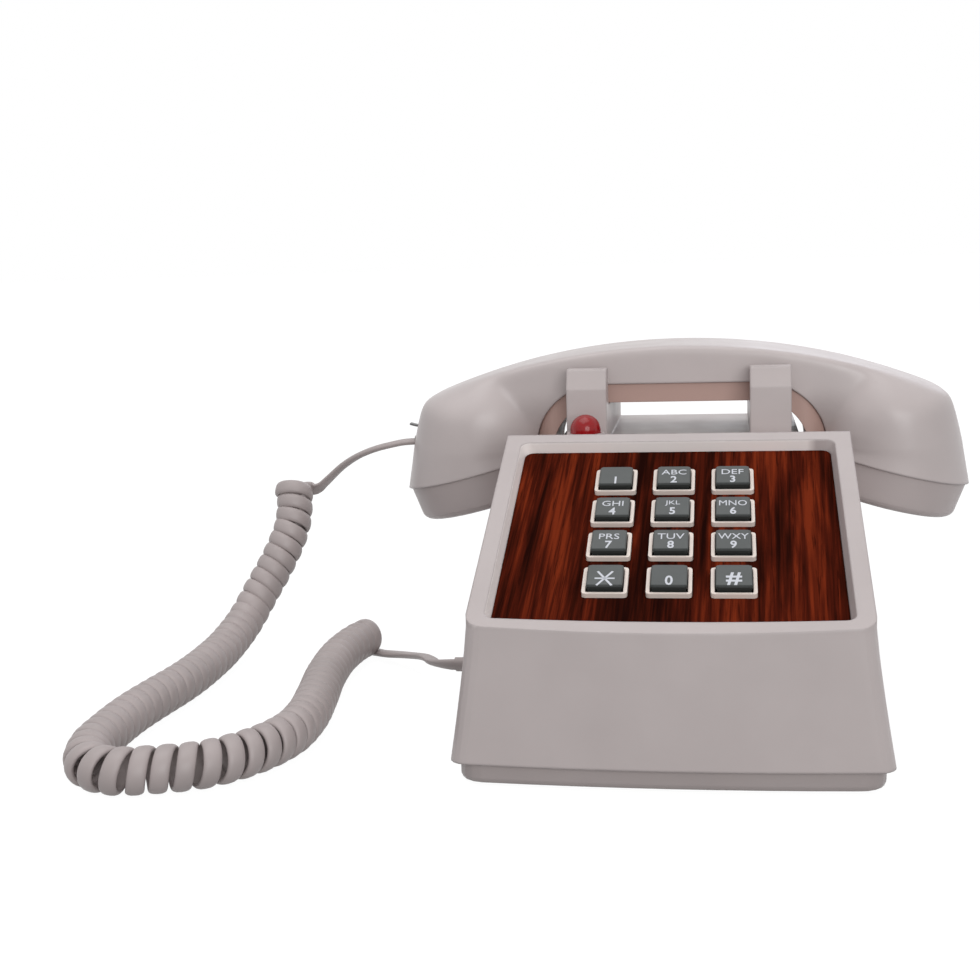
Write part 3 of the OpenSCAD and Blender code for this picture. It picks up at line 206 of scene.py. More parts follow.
# %% Directions along the route
inset_low, inset_high = 4.4 * MM, 2.5 * MM  # the route's ends that the turns leave free
step_count = 1872  # 27 or 28 to a turn
distance = np.linspace(inset_low, coil_length - inset_high, step_count)
middle = along(coil_line, distance)[0]
tangent = unit(np.gradient(middle, axis=0))


def carried(tangents, start):
    """A direction square to each tangent: the one before it, less its lean along the curve."""
    out, v = [], np.asarray(start, float)
    for d in tangents:
        v = v - d * (v @ d)
        v = v / np.linalg.norm(v)
        out.append(v)
    return np.array(out)


side_u = carried(tangent, (0, 0, -1))
side_v = np.cross(tangent, side_u)
print("points along the coil:", len(middle))

# %% Wind the ribbon
ribbon_w, ribbon_t, coil_r = 5.6 * MM, 2.5 * MM, 7.25 * MM
wind_r = coil_r - ribbon_t / 2
close_pitch, extra_pitch = 5.66, 0.95
bend_x, bend_half, bend_y = -0.146, 0.026, -0.085  # the bend round the front, in metres
open_turns = np.exp(-(((middle[:, 0] - bend_x) / bend_half) ** 2)) * (middle[:, 1] < bend_y)
pitch_here = (close_pitch + extra_pitch * open_turns) * MM
angle = -2 * math.pi * np.concatenate([[0], np.cumsum(np.diff(distance) / pitch_here[:-1])])
back = math.atan2(side_v[-1] @ (0, 1, 0), side_u[-1] @ (0, 1, 0))
wanted = back + 2 * math.pi * round((angle[-1] - back) / (2 * math.pi))
angle *= wanted / angle[-1]
radial = np.cos(angle)[:, None] * side_u + np.sin(angle)[:, None] * side_v
last_wider, last_lean = 0.1, 0.35
last_turn = smooth_step(1 - (angle - angle[-1]) / (2 * math.pi))[:, None]
turns = middle + wind_r * (1 + last_wider * last_turn) * radial
faces_out = unit(radial + last_lean * last_turn * tangent)
print("turns:", round(-angle[-1] / (2 * math.pi), 2))

# %% [markdown]
# ## Leaders and the whole ribbon
#
# The straight ends, the leaders, continue the first and last turn along their own
# direction, so the ribbon is one smooth line from the housing to the plug. Its flat
# side faces the coil's middle in the turns, and twists to lie level in the leaders.
# The section is a rounded oblong, carried along that line.

# %% Leaders
base_way = np.array([
    [-70, -25, 15], [-77.5, -24.4, 14.7], [-83, -18.5, 13.4], [-87, -8.5, 11.7],
    [-91.8, 3, 9.3], [-97.5, 13.5, 6.6], [-104, 21.5, 4.6], [-110.5, 26.6, 3.4]]) * MM
handset_way = np.array([
    [-151.9, 73.95, 59.3], [-148.4, 73.1, 59.5], [-145.1, 71.3, 61.3], [-141.3, 69, 64.4],
    [-134.5, 66, 70], [-127.3, 63.5, 74.3], [-120.5, 62, 77], [-113.5, 61.3, 78.8],
    [-108.8, 61.2, 79.7], [-105, 61.2, 80], [-101, 61.2, 80]]) * MM
first_way = unit(turns[1] - turns[0])
last_way = unit(turns[-1] - turns[-2])
leader_low = smooth_route(np.vstack([base_way, turns[:1]]), (-1, 0, 0), first_way, per_span=9)
leader_high = smooth_route(np.vstack([turns[-1:], handset_way]), last_way, (1, 0, 0), per_span=9)
ribbon = np.vstack([leader_low[:-1], turns, leader_high[1:]])
ribbon_way = unit(np.gradient(ribbon, axis=0))
low_n, high_n = len(leader_low) - 1, len(leader_high) - 1
print("points in the leaders:", low_n, "and", high_n)

# %% Lay the whole ribbon
def twist(count, start, end, ramp):
    """Directions that turn from start to end over a leader, as its distance share passes ramp."""
    t = smooth_step((np.arange(count) / (count - 1) - ramp[0]) / (ramp[1] - ramp[0]))[:, None]
    return unit((1 - t) * np.asarray(start, float) + t * np.asarray(end, float))


entry_side = (0, -0.75, -0.66)  # how the sleeve in the housing's side holds the ribbon
flat_side = np.vstack([
    twist(low_n, entry_side, (0, 0, -1), (0.02, 1.0)),
    faces_out,
    twist(high_n, faces_out[-1], (0, 0, 1), (0.04, 0.32))])
flat_side = unit(flat_side - ribbon_way * np.sum(flat_side * ribbon_way, 1, keepdims=True))
wide_side = np.cross(ribbon_way, flat_side)
ring_n = 16
around = np.linspace(0, 2 * math.pi, ring_n, endpoint=False)
across_flat, across_wide = np.cos(around)[:, None], bent(np.sin(around), 0.8)[:, None]
half_t, half_w = ribbon_t / 2, ribbon_w / 2
cord_points = (ribbon[:, None]
               + across_flat * half_t * flat_side[:, None]
               + across_wide * half_w * wide_side[:, None])
handset_cord = put_mesh("handset_cord", cord_points,
                        grid_faces(len(ribbon), ring_n, round_columns=True),
                        caps=end_caps(len(ribbon), ring_n))

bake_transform(handset_cord)
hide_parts("curly_cord", "handset_leader", "base_leader")
print("the cord replaces three pieces of the frame")

# %% [markdown]
# ## Nodes
#
# Materials are small networks of nodes. Three helpers keep their recipes short: one
# starts an empty material, one adds a node with its settings and links, and one does
# arithmetic on sockets and plain numbers alike.

# %% Node helpers
def new_material(name):
    """An empty node material; returns it with its tree and output node."""
    material = bpy.data.materials.new(name)
    material.use_nodes = True
    tree = material.node_tree
    tree.nodes.clear()
    return material, tree, tree.nodes.new("ShaderNodeOutputMaterial")


def node(tree, kind, links=(), **values):
    """Adds a node, sets its properties and inputs, and links (socket, input) pairs to it."""
    made = tree.nodes.new(kind)
    for key, value in values.items():
        if key in made.bl_rna.properties:
            setattr(made, key, value)
        else:
            made.inputs[key.replace("_", " ")].default_value = value
    for source, name in links:
        tree.links.new(source, made.inputs[name])
    return made


def maths(tree, operation, *terms):
    """The output of one operation on its terms, each a socket or a plain number."""
    made = node(tree, "ShaderNodeMath", operation=operation)
    for place, term in enumerate(terms):
        if isinstance(term, (int, float)):
            made.inputs[place].default_value = term
        else:
            tree.links.new(term, made.inputs[place])
    return made.outputs[0]

# %% [markdown]
# ## Studio
#
# The telephone stands on a pale seamless sheet under three large soft lamps: one above,
# one in front and one behind. The sheet is white to the camera and to mirrors, but it
# still darkens where the telephone shades it: to those rays its material adds a steady
# glow to a dark diffuse surface, and to all others it is just grey.

# %% Floor
def by_ray(tree, unseen, seen, out):
    """Shows camera, glossy and transmission rays the second shader and all others the first."""
    ray = node(tree, "ShaderNodeLightPath").outputs
    direct = maths(tree, "MAXIMUM", ray["Is Camera Ray"], ray["Is Glossy Ray"])
    direct = maths(tree, "MAXIMUM", direct, ray["Is Transmission Ray"])
    choose = node(tree, "ShaderNodeMixShader", [(direct, 0), (unseen, 1), (seen, 2)])
    tree.links.new(choose.outputs[0], out.inputs["Surface"])


floor_material, tree, out = new_material("pale_sheet")
plain = node(tree, "ShaderNodeBsdfDiffuse", Color=(0.3, 0.3, 0.3, 1))
shaded = node(tree, "ShaderNodeBsdfDiffuse", Color=(0.12, 0.12, 0.12, 1))
glow = node(tree, "ShaderNodeEmission", Strength=0.96)
both = node(tree, "ShaderNodeAddShader", [(shaded.outputs[0], 0), (glow.outputs[0], 1)])
by_ray(tree, plain.outputs[0], both.outputs[0], out)
half_sheet, sheet_z = 6, -1e-4
sheet_points = [[x * half_sheet, y * half_sheet, sheet_z]
                for x, y in ((-1, -1), (1, -1), (1, 1), (-1, 1))]
sheet = put_mesh("floor", sheet_points, [[0, 1, 2, 3]], floor_material)

# %% World
world = bpy.data.worlds.new("studio")
world.use_nodes = True
tree = world.node_tree
tree.nodes.clear()
out = tree.nodes.new("ShaderNodeOutputWorld")
room = node(tree, "ShaderNodeBackground", Color=(0.97, 0.97, 1.0, 1), Strength=0.5)
white = node(tree, "ShaderNodeBackground", Color=(1, 1, 1, 1), Strength=1.0)
by_ray(tree, room.outputs[0], white.outputs[0], out)
scene.world = world
scene.view_settings.view_transform = "Standard"
print("world:", world.name, "shown with the view", scene.view_settings.view_transform)

# %% Lamps
def soft_lamp(name, place, aim, size, watts, tint=(1, 1, 1)):
    """A square area lamp at a place, turned to face its aim."""
    data = bpy.data.lights.new(name, "AREA")
    data.size, data.energy, data.color = size, watts, tint
    lamp = bpy.data.objects.new(name, data)
    lamp.location = place
    lamp.rotation_euler = (Vector(aim) - Vector(place)).to_track_quat("-Z", "Y").to_euler()
    scene.collection.objects.link(lamp)


soft_lamp("lamp_above", (-0.2, -0.1, 1.5), (0, 0.05, 0.05), 1.2, 8)
soft_lamp("lamp_front", (0.65, -1.95, 0.7), (0, 0, 0.08), 1.15, 16.8)
soft_lamp("lamp_behind", (0.5, 1.6, 0.9), (0, 0.05, 0.08), 1.0, 2.5, tint=(0.86, 0.88, 1.0))

# %% [markdown]
# ## Shared effects
#
# Moulded plastic is never one flat colour. It has faint clouds of lighter and darker
# resin, a fine grain from the mould's spark-eroded wall, and edges that the mould
# maker has rounded a little. Those effects are built once, as a node group, and each
# plastic gives it its own colours and sizes. The group hands on only what changes over
# the surface: a colour, a roughness and a normal.

# %% Node group for moulded plastic
def new_group(name, inputs, outputs):
    """A node group with named inputs (name, kind, default) and outputs (name, kind)."""
    tree = bpy.data.node_groups.new(name, "ShaderNodeTree")
    for title, kind, default in inputs:
        socket = tree.interface.new_socket(title, in_out="INPUT", socket_type=f"NodeSocket{kind}")
        socket.default_value = default
    for title, kind in outputs:
        tree.interface.new_socket(title, in_out="OUTPUT", socket_type=f"NodeSocket{kind}")
    given = tree.nodes.new("NodeGroupInput").outputs
    return tree, given, tree.nodes.new("NodeGroupOutput").inputs


moulded, given, result = new_group(
    "moulded_skin",
    [("Colour", "Color", (0.5, 0.5, 0.5, 1)), ("Cloud colour", "Color", (0.45, 0.45, 0.45, 1)),
     ("Cloud size", "Float", 40.0), ("Grain size", "Float", 2200.0),
     ("Grain depth", "Float", 0.1), ("Edge radius", "Float", 0.0006),
     ("Smoothest", "Float", 0.3), ("Roughest", "Float", 0.42)],
    [("Colour", "Color"), ("Roughness", "Float"), ("Normal", "Vector")])
place = node(moulded, "ShaderNodeTexCoord").outputs["Object"]
clouds = node(moulded, "ShaderNodeTexNoise",
              [(place, "Vector"), (given["Cloud size"], "Scale")], Detail=3.0)
spread = node(moulded, "ShaderNodeMapRange", [(clouds.outputs["Fac"], "Value")],
              From_Min=0.35, From_Max=0.7)
tinted = node(moulded, "ShaderNodeMixRGB",
              [(spread.outputs[0], "Fac"), (given["Colour"], "Color1"),
               (given["Cloud colour"], "Color2")])
wipes = node(moulded, "ShaderNodeTexNoise", [(place, "Vector")],
             Scale=85.0, Detail=4.0, Roughness=0.65)
rough = node(moulded, "ShaderNodeMapRange",
             [(wipes.outputs["Fac"], "Value"), (given["Smoothest"], "To Min"),
              (given["Roughest"], "To Max")], From_Min=0.3, From_Max=0.7)
edge = node(moulded, "ShaderNodeBevel", [(given["Edge radius"], "Radius")], samples=6)
grain = node(moulded, "ShaderNodeTexNoise",
             [(place, "Vector"), (given["Grain size"], "Scale")], Detail=2.0)
bump = node(moulded, "ShaderNodeBump",
            [(grain.outputs["Fac"], "Height"), (given["Grain depth"], "Strength"),
             (edge.outputs[0], "Normal")], Distance=0.0001)
for made, title in ((tinted, "Colour"), (rough, "Roughness"), (bump, "Normal")):
    moulded.links.new(made.outputs[0], result[title])
print("the group hands on", [socket.name for socket in result if socket.name])

# %% Plastic from the group
def srgb(*rgb):
    """A screen colour of 0 to 255 as linear light, with alpha one."""
    c = np.asarray(rgb, float) / 255
    linear = np.where(c <= 0.04045, c / 12.92, ((c + 0.055) / 1.055) ** 2.4)
    return (*linear.tolist(), 1.0)


def shaded_surface(name, **sockets):
    """A material with one Principled shader whose plain sockets are set here."""
    material, tree, out = new_material(name)
    shader = node(tree, "ShaderNodeBsdfPrincipled", **sockets)
    tree.links.new(shader.outputs[0], out.inputs["Surface"])
    return material, tree, shader


def plastic(name, colour, cloud, smoothest, roughest, grain=0.1, edge=0.0005,
            grain_size=2200.0, **sockets):
    """A moulded plastic: its group of effects feeds the shader's colour, roughness and normal."""
    material, tree, shader = shaded_surface(name, **sockets)
    skin = tree.nodes.new("ShaderNodeGroup")
    skin.node_tree = moulded
    settings = {"Colour": colour, "Cloud colour": cloud, "Grain size": grain_size,
                "Grain depth": grain, "Edge radius": edge, "Smoothest": smoothest,
                "Roughest": roughest}
    for key, value in settings.items():
        skin.inputs[key].default_value = value
    for source, target in (("Colour", "Base Color"), ("Roughness", "Roughness"),
                           ("Normal", "Normal")):
        tree.links.new(skin.outputs[source], shader.inputs[target])
    return material


print("a screen grey of 128 is", round(srgb(128, 128, 128)[0], 3), "of full light")

# %% Plastics
ivory = plastic("ivory_plastic", srgb(196, 186, 184), srgb(191, 181, 179), 0.3, 0.42, edge=0.0011)
# A darker copy of the ivory for the base pan and the hook plungers: painted shade, for parts that
# lie low and under the housing.
ivory_lower = plastic("ivory_lower", srgb(170, 160, 158), srgb(165, 155, 153), 0.34, 0.46,
                      edge=0.0012)
frame_ivory = plastic("key_frame_ivory", srgb(238, 225, 215), srgb(231, 217, 207), 0.34, 0.45,
                      edge=0.0003)
key_grey = plastic("key_grey_plastic", srgb(90, 93, 92), srgb(84, 87, 86), 0.42, 0.55, grain=0.2,
                   edge=0.00012, grain_size=3500.0, Specular_IOR_Level=0.25)
# The housing's ivory is a touch darker than the handset's: painted shade for its dimmer front
# face.
housing_ivory = plastic("housing_ivory", srgb(191, 181, 179), srgb(186, 176, 174), 0.3, 0.42,
                        edge=0.0011)
# The handset's inner shell is a little darker than its outer shell: painted shade on the
# underside.
inner_shell = plastic("ivory_shaded_underside", srgb(188, 177, 175), srgb(183, 172, 170), 0.34, 0.46,
                      edge=0.0006)
cord_vinyl = plastic("cord_vinyl", srgb(176, 165, 163), srgb(166, 156, 154), 0.42, 0.55,
                     grain=0.12, edge=0.0002)
rubber = plastic("black_rubber", srgb(38, 37, 38), srgb(50, 49, 50), 0.6, 0.8, grain=0.4,
                 edge=0.0003)
latch_grey = plastic("latch_plastic", srgb(112, 110, 110), srgb(104, 102, 102), 0.35, 0.5,
                     edge=0.0002)
dark_plastic = plastic("black_plastic", srgb(40, 40, 43), srgb(48, 48, 51), 0.35, 0.5,
                       edge=0.0003)
print("materials so far:", len(bpy.data.materials))

# %% [markdown]
# ## Second colours, painted light and painted shade
#
# Three mouldings get a second colour in places. The key caps are nearly black below
# the grey top, and the dark wraps 0.9 mm over its front edge. The housing's recess is
# painted paler on its walls: painted light. Under the handle the inner shell is painted
# browner and darker: painted shade under the arch.
#
# Each place is found by measuring along directions of the panel: rise leaves it at a
# right angle and upward runs up its slope. The rows of keys repeat up the slope, so the
# distance from a key's front edge is the remainder after whole key pitches.

# %% Measures along the panel
slope, key_pitch = math.radians(22), 19.05
rise_way = (0, -math.sin(slope), math.cos(slope))
upward_way = (0, math.cos(slope), math.sin(slope))
side_way = (1, 0, 0)


def measured(tree, way):
    """How far along a direction each point of the surface lies, in metres."""
    place = node(tree, "ShaderNodeTexCoord").outputs["Object"]
    product = node(tree, "ShaderNodeVectorMath", [(place, 0)], operation="DOT_PRODUCT")
    product.inputs[1].default_value = way
    return product.outputs["Value"]


def ranged(tree, source, zero, one):
    """A mask that goes from 0 to 1 as the source goes from zero to one."""
    made = node(tree, "ShaderNodeMapRange", [(source, "Value")], From_Min=zero, From_Max=one)
    return made.outputs[0]


def add_colour(material, mask, colour, where=1):
    """Gives a plastic a second colour where the mask is 1, or 0 if asked."""
    tree = material.node_tree
    target = next(n for n in tree.nodes if n.type == "BSDF_PRINCIPLED").inputs["Base Color"]
    own = target.links[0].from_socket
    if where == 1:
        mix = node(tree, "ShaderNodeMixRGB", [(mask, "Fac"), (own, "Color1")], Color2=colour)
    else:
        mix = node(tree, "ShaderNodeMixRGB", [(mask, "Fac"), (own, "Color2")], Color1=colour)
    tree.links.new(mix.outputs[0], target)


print("the panel rises", round(100 * math.tan(slope), 1), "mm in 100")

# %% Second colours, painted light and painted shade
# The key caps are nearly black below their grey top and over its front edge.
tree = key_grey.node_tree
skirt_low, skirt_high, front_edge = 0.0810, 0.0818, 0.05342
above_skirt = ranged(tree, measured(tree, rise_way), skirt_low, skirt_high)
from_front = maths(tree, "ADD", measured(tree, upward_way), front_edge)
within_key = maths(tree, "MODULO", from_front, key_pitch * MM)
wrap_front, wrap_rear = 0.0008, 0.001
behind_edge = ranged(tree, within_key, wrap_front, wrap_rear)
add_colour(key_grey, maths(tree, "MULTIPLY", above_skirt, behind_edge), srgb(44, 47, 46), where=0)

# Painted light: the walls of the housing's recess are painted a paler ivory, standing in for the
# light that falls on them.
tree = housing_ivory.node_tree
rise, upward, sideways = (measured(tree, way) for way in (rise_way, upward_way, side_way))
# Each side of the recess: a measure, where its mask is still 0 and where it is 1.
recess_sides = (
    (rise, 0.0823, 0.0820), (rise, 0.0745, 0.0750),
    (upward, -0.0740, -0.0725), (upward, 0.0340, 0.0330),
    (sideways, -0.0560, -0.0550), (sideways, 0.0470, 0.0440))
recess_painted_light = 1.0
for source, zero, one in recess_sides:
    recess_painted_light = maths(tree, "MULTIPLY", ranged(tree, source, zero, one), recess_painted_light)
add_colour(housing_ivory, recess_painted_light, srgb(246, 238, 234))

# Painted shade: under the handle's arch the inner shell is painted browner and darker, where the
# arch shades it.
tree = inner_shell.node_tree
arch_shade_outer, arch_shade_inner = 0.060, 0.052
from_middle = maths(tree, "ABSOLUTE", measured(tree, side_way))
arch_shade = ranged(tree, from_middle, arch_shade_outer, arch_shade_inner)
add_colour(inner_shell, arch_shade, srgb(180, 149, 139))
print("two-coloured:", [m.name for m in (key_grey, housing_ivory, inner_shell)])

# %% [markdown]
# ## Wood-look faceplate
#
# The panel round the keys is a printed sheet under a matt lacquer. Its print imitates
# rosewood: narrow red and near-black streaks that run up the slope. Noise stretched
# along the slope gives streaks, because a pattern that changes quickly across and
# slowly along looks like fibres. Three such layers are enough: broad bands, streaks
# and fine dark pores. A Mapping node lays the pattern in the plane of the panel.

# %% Wood-look material
wood, tree, shader = shaded_surface("wood_look", Roughness=0.5, Specular_IOR_Level=0.0)
place = node(tree, "ShaderNodeTexCoord").outputs["Object"]
laid = node(tree, "ShaderNodeMapping", [(place, "Vector")],
            Rotation=(-slope, 0, math.radians(1.5)))


def streaks(across, run, detail, distortion):
    """Noise that changes across the panel at one rate and up it at another, per metre."""
    stretched = node(tree, "ShaderNodeMapping", [(laid.outputs[0], "Vector")],
                     Scale=(across, run, run))
    return node(tree, "ShaderNodeTexNoise", [(stretched.outputs[0], "Vector")], Scale=1.0,
                Detail=detail, Roughness=0.62, Distortion=distortion).outputs["Fac"]


bands = streaks(75, 7, 3.0, 0.5)
fibres = streaks(520, 14, 6.0, 0.35)
pores = streaks(1500, 55, 3.0, 0.1)
mixed = maths(tree, "MULTIPLY", maths(tree, "ADD", bands, fibres), 0.5)
colours = node(tree, "ShaderNodeValToRGB", [(mixed, "Fac")])
ramp = colours.color_ramp
for position, colour in ((0.4, (32, 11, 8)), (0.46, (50, 17, 10)), (0.53, (76, 25, 14)),
                         (0.62, (118, 44, 22))):
    stop = ramp.elements.new(position)
    stop.color = srgb(*colour)
ramp.elements.remove(ramp.elements[0])
ramp.elements.remove(ramp.elements[-1])
pore_mask = node(tree, "ShaderNodeMapRange", [(pores, "Value")],
                 From_Min=0.56, From_Max=0.68, To_Max=0.65)
print_colour = node(tree, "ShaderNodeMixRGB",
                    [(pore_mask.outputs[0], "Fac"), (colours.outputs[0], "Color1")],
                    Color2=srgb(30, 9, 7))
relief = node(tree, "ShaderNodeBump", [(pores, "Height")], Strength=0.12, Distance=0.0001)
sheen = node(tree, "ShaderNodeMapRange", [(fibres, "Value")],
             From_Min=0.3, From_Max=0.7, To_Min=0.56, To_Max=0.44)
for made, title in ((print_colour, "Base Color"), (sheen, "Roughness"), (relief, "Normal")):
    tree.links.new(made.outputs[0], shader.inputs[title])
print("wood stops at", [round(stop.position, 2) for stop in ramp.elements])

# %% [markdown]
# ## Lamp, metal, boards and clear plastic
#
# The message lamp is a red polycarbonate dome, polished inside and out. Screws, springs
# and the bracket are zinc-plated steel with a fine brushed roughness. The boards are
# green lacquer over copper. The plug is clear, and slightly smoky where it is thick.
# Most of them need no more than a fine noise between two tones.

# %% Other materials
def toned(name, light, dark, scale, detail, roughness=None, stretch=(1, 1, 1), **sockets):
    """A surface between two tones by a fine noise, which also sets its roughness if asked."""
    material, tree, shader = shaded_surface(name, **sockets)
    place = node(tree, "ShaderNodeTexCoord").outputs["Object"]
    laid = node(tree, "ShaderNodeMapping", [(place, "Vector")], Scale=stretch)
    fine = node(tree, "ShaderNodeTexNoise", [(laid.outputs[0], "Vector")],
                Scale=scale, Detail=detail).outputs["Fac"]
    tone = node(tree, "ShaderNodeMixRGB", [(fine, "Fac")], Color1=light, Color2=dark)
    tree.links.new(tone.outputs[0], shader.inputs["Base Color"])
    if roughness:
        rough = node(tree, "ShaderNodeMapRange", [(fine, "Value")],
                     To_Min=roughness[0], To_Max=roughness[1])
        tree.links.new(rough.outputs[0], shader.inputs["Roughness"])
    return material


lamp_red = toned("lamp_red", srgb(158, 2, 12), srgb(132, 1, 8), 320.0, 2.0, Roughness=0.2,
                 Specular_IOR_Level=0.35, Coat_Weight=0.08, Coat_Roughness=0.05,
                 Subsurface_Weight=0.08, Subsurface_Scale=0.003)
steel = toned("plated_steel", srgb(196, 198, 200), srgb(160, 163, 167), 900.0, 4.0, (0.25, 0.45),
              stretch=(1, 0.15, 1), Metallic=1.0)
iron = toned("grey_iron", srgb(120, 121, 123), srgb(92, 93, 96), 900.0, 4.0, (0.5, 0.7),
             Metallic=1.0)
clear = toned("clear_plastic", srgb(226, 222, 216), srgb(206, 202, 196), 300.0, 2.0, (0.06, 0.2),
              Transmission_Weight=0.75, IOR=1.49)
ink = toned("white_ink", srgb(216, 218, 224), srgb(198, 201, 208), 1800.0, 2.0, Roughness=0.5)
board, tree, shader = shaded_surface("green_board", Roughness=0.35, Coat_Weight=0.2,
                                     Coat_Roughness=0.2)
place = node(tree, "ShaderNodeTexCoord").outputs["Object"]
tracks = node(tree, "ShaderNodeTexBrick", [(place, "Vector")], Color1=srgb(38, 96, 60),
              Color2=srgb(31, 84, 52), Mortar=srgb(64, 128, 84), Scale=120.0, Mortar_Size=0.02)
tree.links.new(tracks.outputs["Color"], shader.inputs["Base Color"])
print("materials in all:", len(bpy.data.materials))

# %% Give every node of the frame its material
finish_of = {
    ivory: ("lamp_collar", "ringer_knob", "handset_outer_shell"),
    housing_ivory: ("housing",),
    ivory_lower: ("base_pan", "hook_plunger_left", "hook_plunger_right"),
    inner_shell: ("handset_inner_shell",),
    wood: ("faceplate",),
    frame_ivory: ("key_frames",),
    key_grey: [n for n in nodes if n.startswith("key_") and n not in ("key_frames", "key_mat")],
    rubber: ("key_mat", "rubber_feet"),
    board: ("keypad_board", "main_board"),
    steel: ("keypad_screws", "bracket_screws", "board_screws", "case_screws", "handset_screws",
            "hook_springs", "hook_bracket"),
    iron: ("ballast_plate", "handset_weight"),
    lamp_red: ("message_lamp",),
    dark_plastic: ("lamp_holder", "hook_yoke", "hook_switch", "board_parts", "sounder",
                   "line_jack", "ringer_switch", "handset_jack", "receiver_capsule",
                   "microphone_capsule"),
    clear: ("lamp_led", "handset_plug"),
    cord_vinyl: ("strain_relief", "curly_cord", "handset_leader", "base_leader"),
}
finished = set()
for material, names in finish_of.items():
    for name in names:
        for slot in nodes[name].material_slots:
            slot.material = material
        finished.add(name)
handset_cord.data.materials.append(cord_vinyl)
print("nodes without a finish:", sorted(set(nodes) - finished))

# %% [markdown]
# ## The handset's outer shell
#
# The handle is a slab with a domed top that swells into two round cups. A designer
# would draw its sections: upright slices through the handle, slices that fan round the
# arches under it, and last the round seam of a cup. A skin is then stretched over
# them. The same formulas that shaped the frame's shell are used here with far more
# slices, so that the skin is smooth, and its inside is a second skin 2.2 mm deeper.
#
# Each section starts on the lower edge, runs a length in its own direction and has a
# half depth at each share of that length. On the handle the half depth follows a
# superellipse of power fourteen, which gives a flat face and a tight top edge. A dome
# swells out of that face over each cup, and a soft crease stays where the two meet.
#
# Sizes are in millimetres. The top is an arc of radius top_r with its crown at top_h. The
# arch is a quarter circle at the end of the straight grip, and each cup is round about a
# point at cup_x, cup_h and tilted inwards.

# %% Sizes of the handset
top_r, top_h, edge_h, grip_half, arch_r = 256, 117.1, 103.4, 28.8, 25
handle_d, cup_r, cup_x, cup_h, cup_tilt = 42, 29, 78.2, 69.9, math.radians(14.4)
handset_y, shell_t, end_lean, neck_narrow, neck_x = 61.2, 2.2, math.radians(14), 0.6, 44
dome_z, dome_slope, dome_blend, melt, end_bulge, end_height = 92, 0.45, 4, 30, 1.1, 38
grip_power, end_power, corner_power, seam_lip = 14.0, 6.0, 36, 0.8
arch_z, half_d = edge_h - arch_r, handle_d / 2
tilt_in = np.array([math.cos(cup_tilt), -math.sin(cup_tilt)])
seam_out = np.array([cup_x, cup_h]) + cup_r * tilt_in
print("handle", handle_d, "mm deep, cups", 2 * cup_r, "mm across")

# %% How far out the skin lies
def to_top(a):
    """Distance from the arch's centre to the top arc along angle a, from the circle's equation."""
    up = arch_z - top_h + top_r
    b = grip_half * np.cos(a) + up * np.sin(a)
    return np.sqrt(b * b - (grip_half**2 + up**2 - top_r**2)) - b


def to_end(a):
    """Distance from the arch's centre to the handset's end: a leaning plane, bulged a little."""
    lean = math.tan(end_lean)
    flat = ((seam_out[0] - grip_half - (arch_z - seam_out[1]) * lean)
            / (np.cos(a) + np.sin(a) * lean))
    up = np.clip((arch_z + flat * np.sin(a) - seam_out[1]) / end_height, 0, 1)
    return flat + end_bulge * 4 * up * (1 - up)


def to_skin(a, power):
    """The smaller of the two distances, rounded where they meet: the p-norm of their inverses."""
    return to_end(a) * (1 + (to_end(a) / to_top(a)) ** power) ** (-1 / power)


for degree in (0, 45, 90):
    reach = to_skin(math.radians(degree), corner_power)
    print(f"at {degree} degrees the skin is {reach:.1f} mm from the arch's centre")

# %% Sections of one half
scan = np.radians(np.linspace(10, 60, 2000))
corner = scan[np.argmin(np.abs(to_end(scan) - to_top(scan)))]
fan = np.concatenate([np.radians(np.linspace(0, 90, 61)),
                      corner + np.radians(np.linspace(-6, 6, 25))])
fan = np.unique(np.round(fan, 4))[::-1]
grip_n = 8
grips = np.linspace(0, grip_half, grip_n, endpoint=False)


def edge_depth(x):
    """Half depth of the handle's lower edge: it narrows from the neck to the arch's end."""
    u = np.clip((x - neck_x) / (grip_half + arch_r - neck_x), 0, 1)
    return half_d * np.sqrt(1 - neck_narrow * u * u)


# A section has a start (edges), a direction (ways), a superellipse power (tightness), a
# length, a half depth at its start (lips), and a share of half circle at its end (rounds).
# Up the fan the top edge tightens from 15 to 55 degrees, and the end is rounder below 45.
fan_dir = np.stack([np.cos(fan), np.sin(fan)], -1)
degrees = np.degrees(fan)
top_of_grips = top_h - top_r + np.sqrt(top_r**2 - grips**2)
edges = np.concatenate([np.stack([grips, np.full(grip_n, edge_h)], -1),
                        [grip_half, arch_z] + arch_r * fan_dir,
                        [np.array([cup_x, cup_h]) - cup_r * tilt_in]])
ways = np.concatenate([np.tile([0, 1], (grip_n, 1)), fan_dir, [tilt_in]])
tightness = np.concatenate([
    np.full(grip_n, grip_power),
    end_power + (grip_power - end_power) * smooth_step((degrees - 15) / 40), [end_power]])
lengths = np.concatenate([top_of_grips - edge_h, to_skin(fan, corner_power) - arch_r,
                          [2 * cup_r]])
lips = np.concatenate([np.full(grip_n, half_d), edge_depth(grip_half + arch_r * np.cos(fan)),
                       [seam_lip]])
rounds = np.concatenate([np.zeros(grip_n), smooth_step((45 - degrees) / 55), [1.0]])
print("sections in one half:", len(edges), "corner at", round(math.degrees(corner), 1), "degrees")

# %% Stretch the skin
def rising(share, t):
    """Grows from share at the lower edge to one at the middle, along an ellipse."""
    gone = (1 - 2 * np.minimum(t, 0.5)) ** 2
    return np.where(t >= 0.5, 1, np.sqrt(share**2 + (1 - share**2) * (1 - gone)))


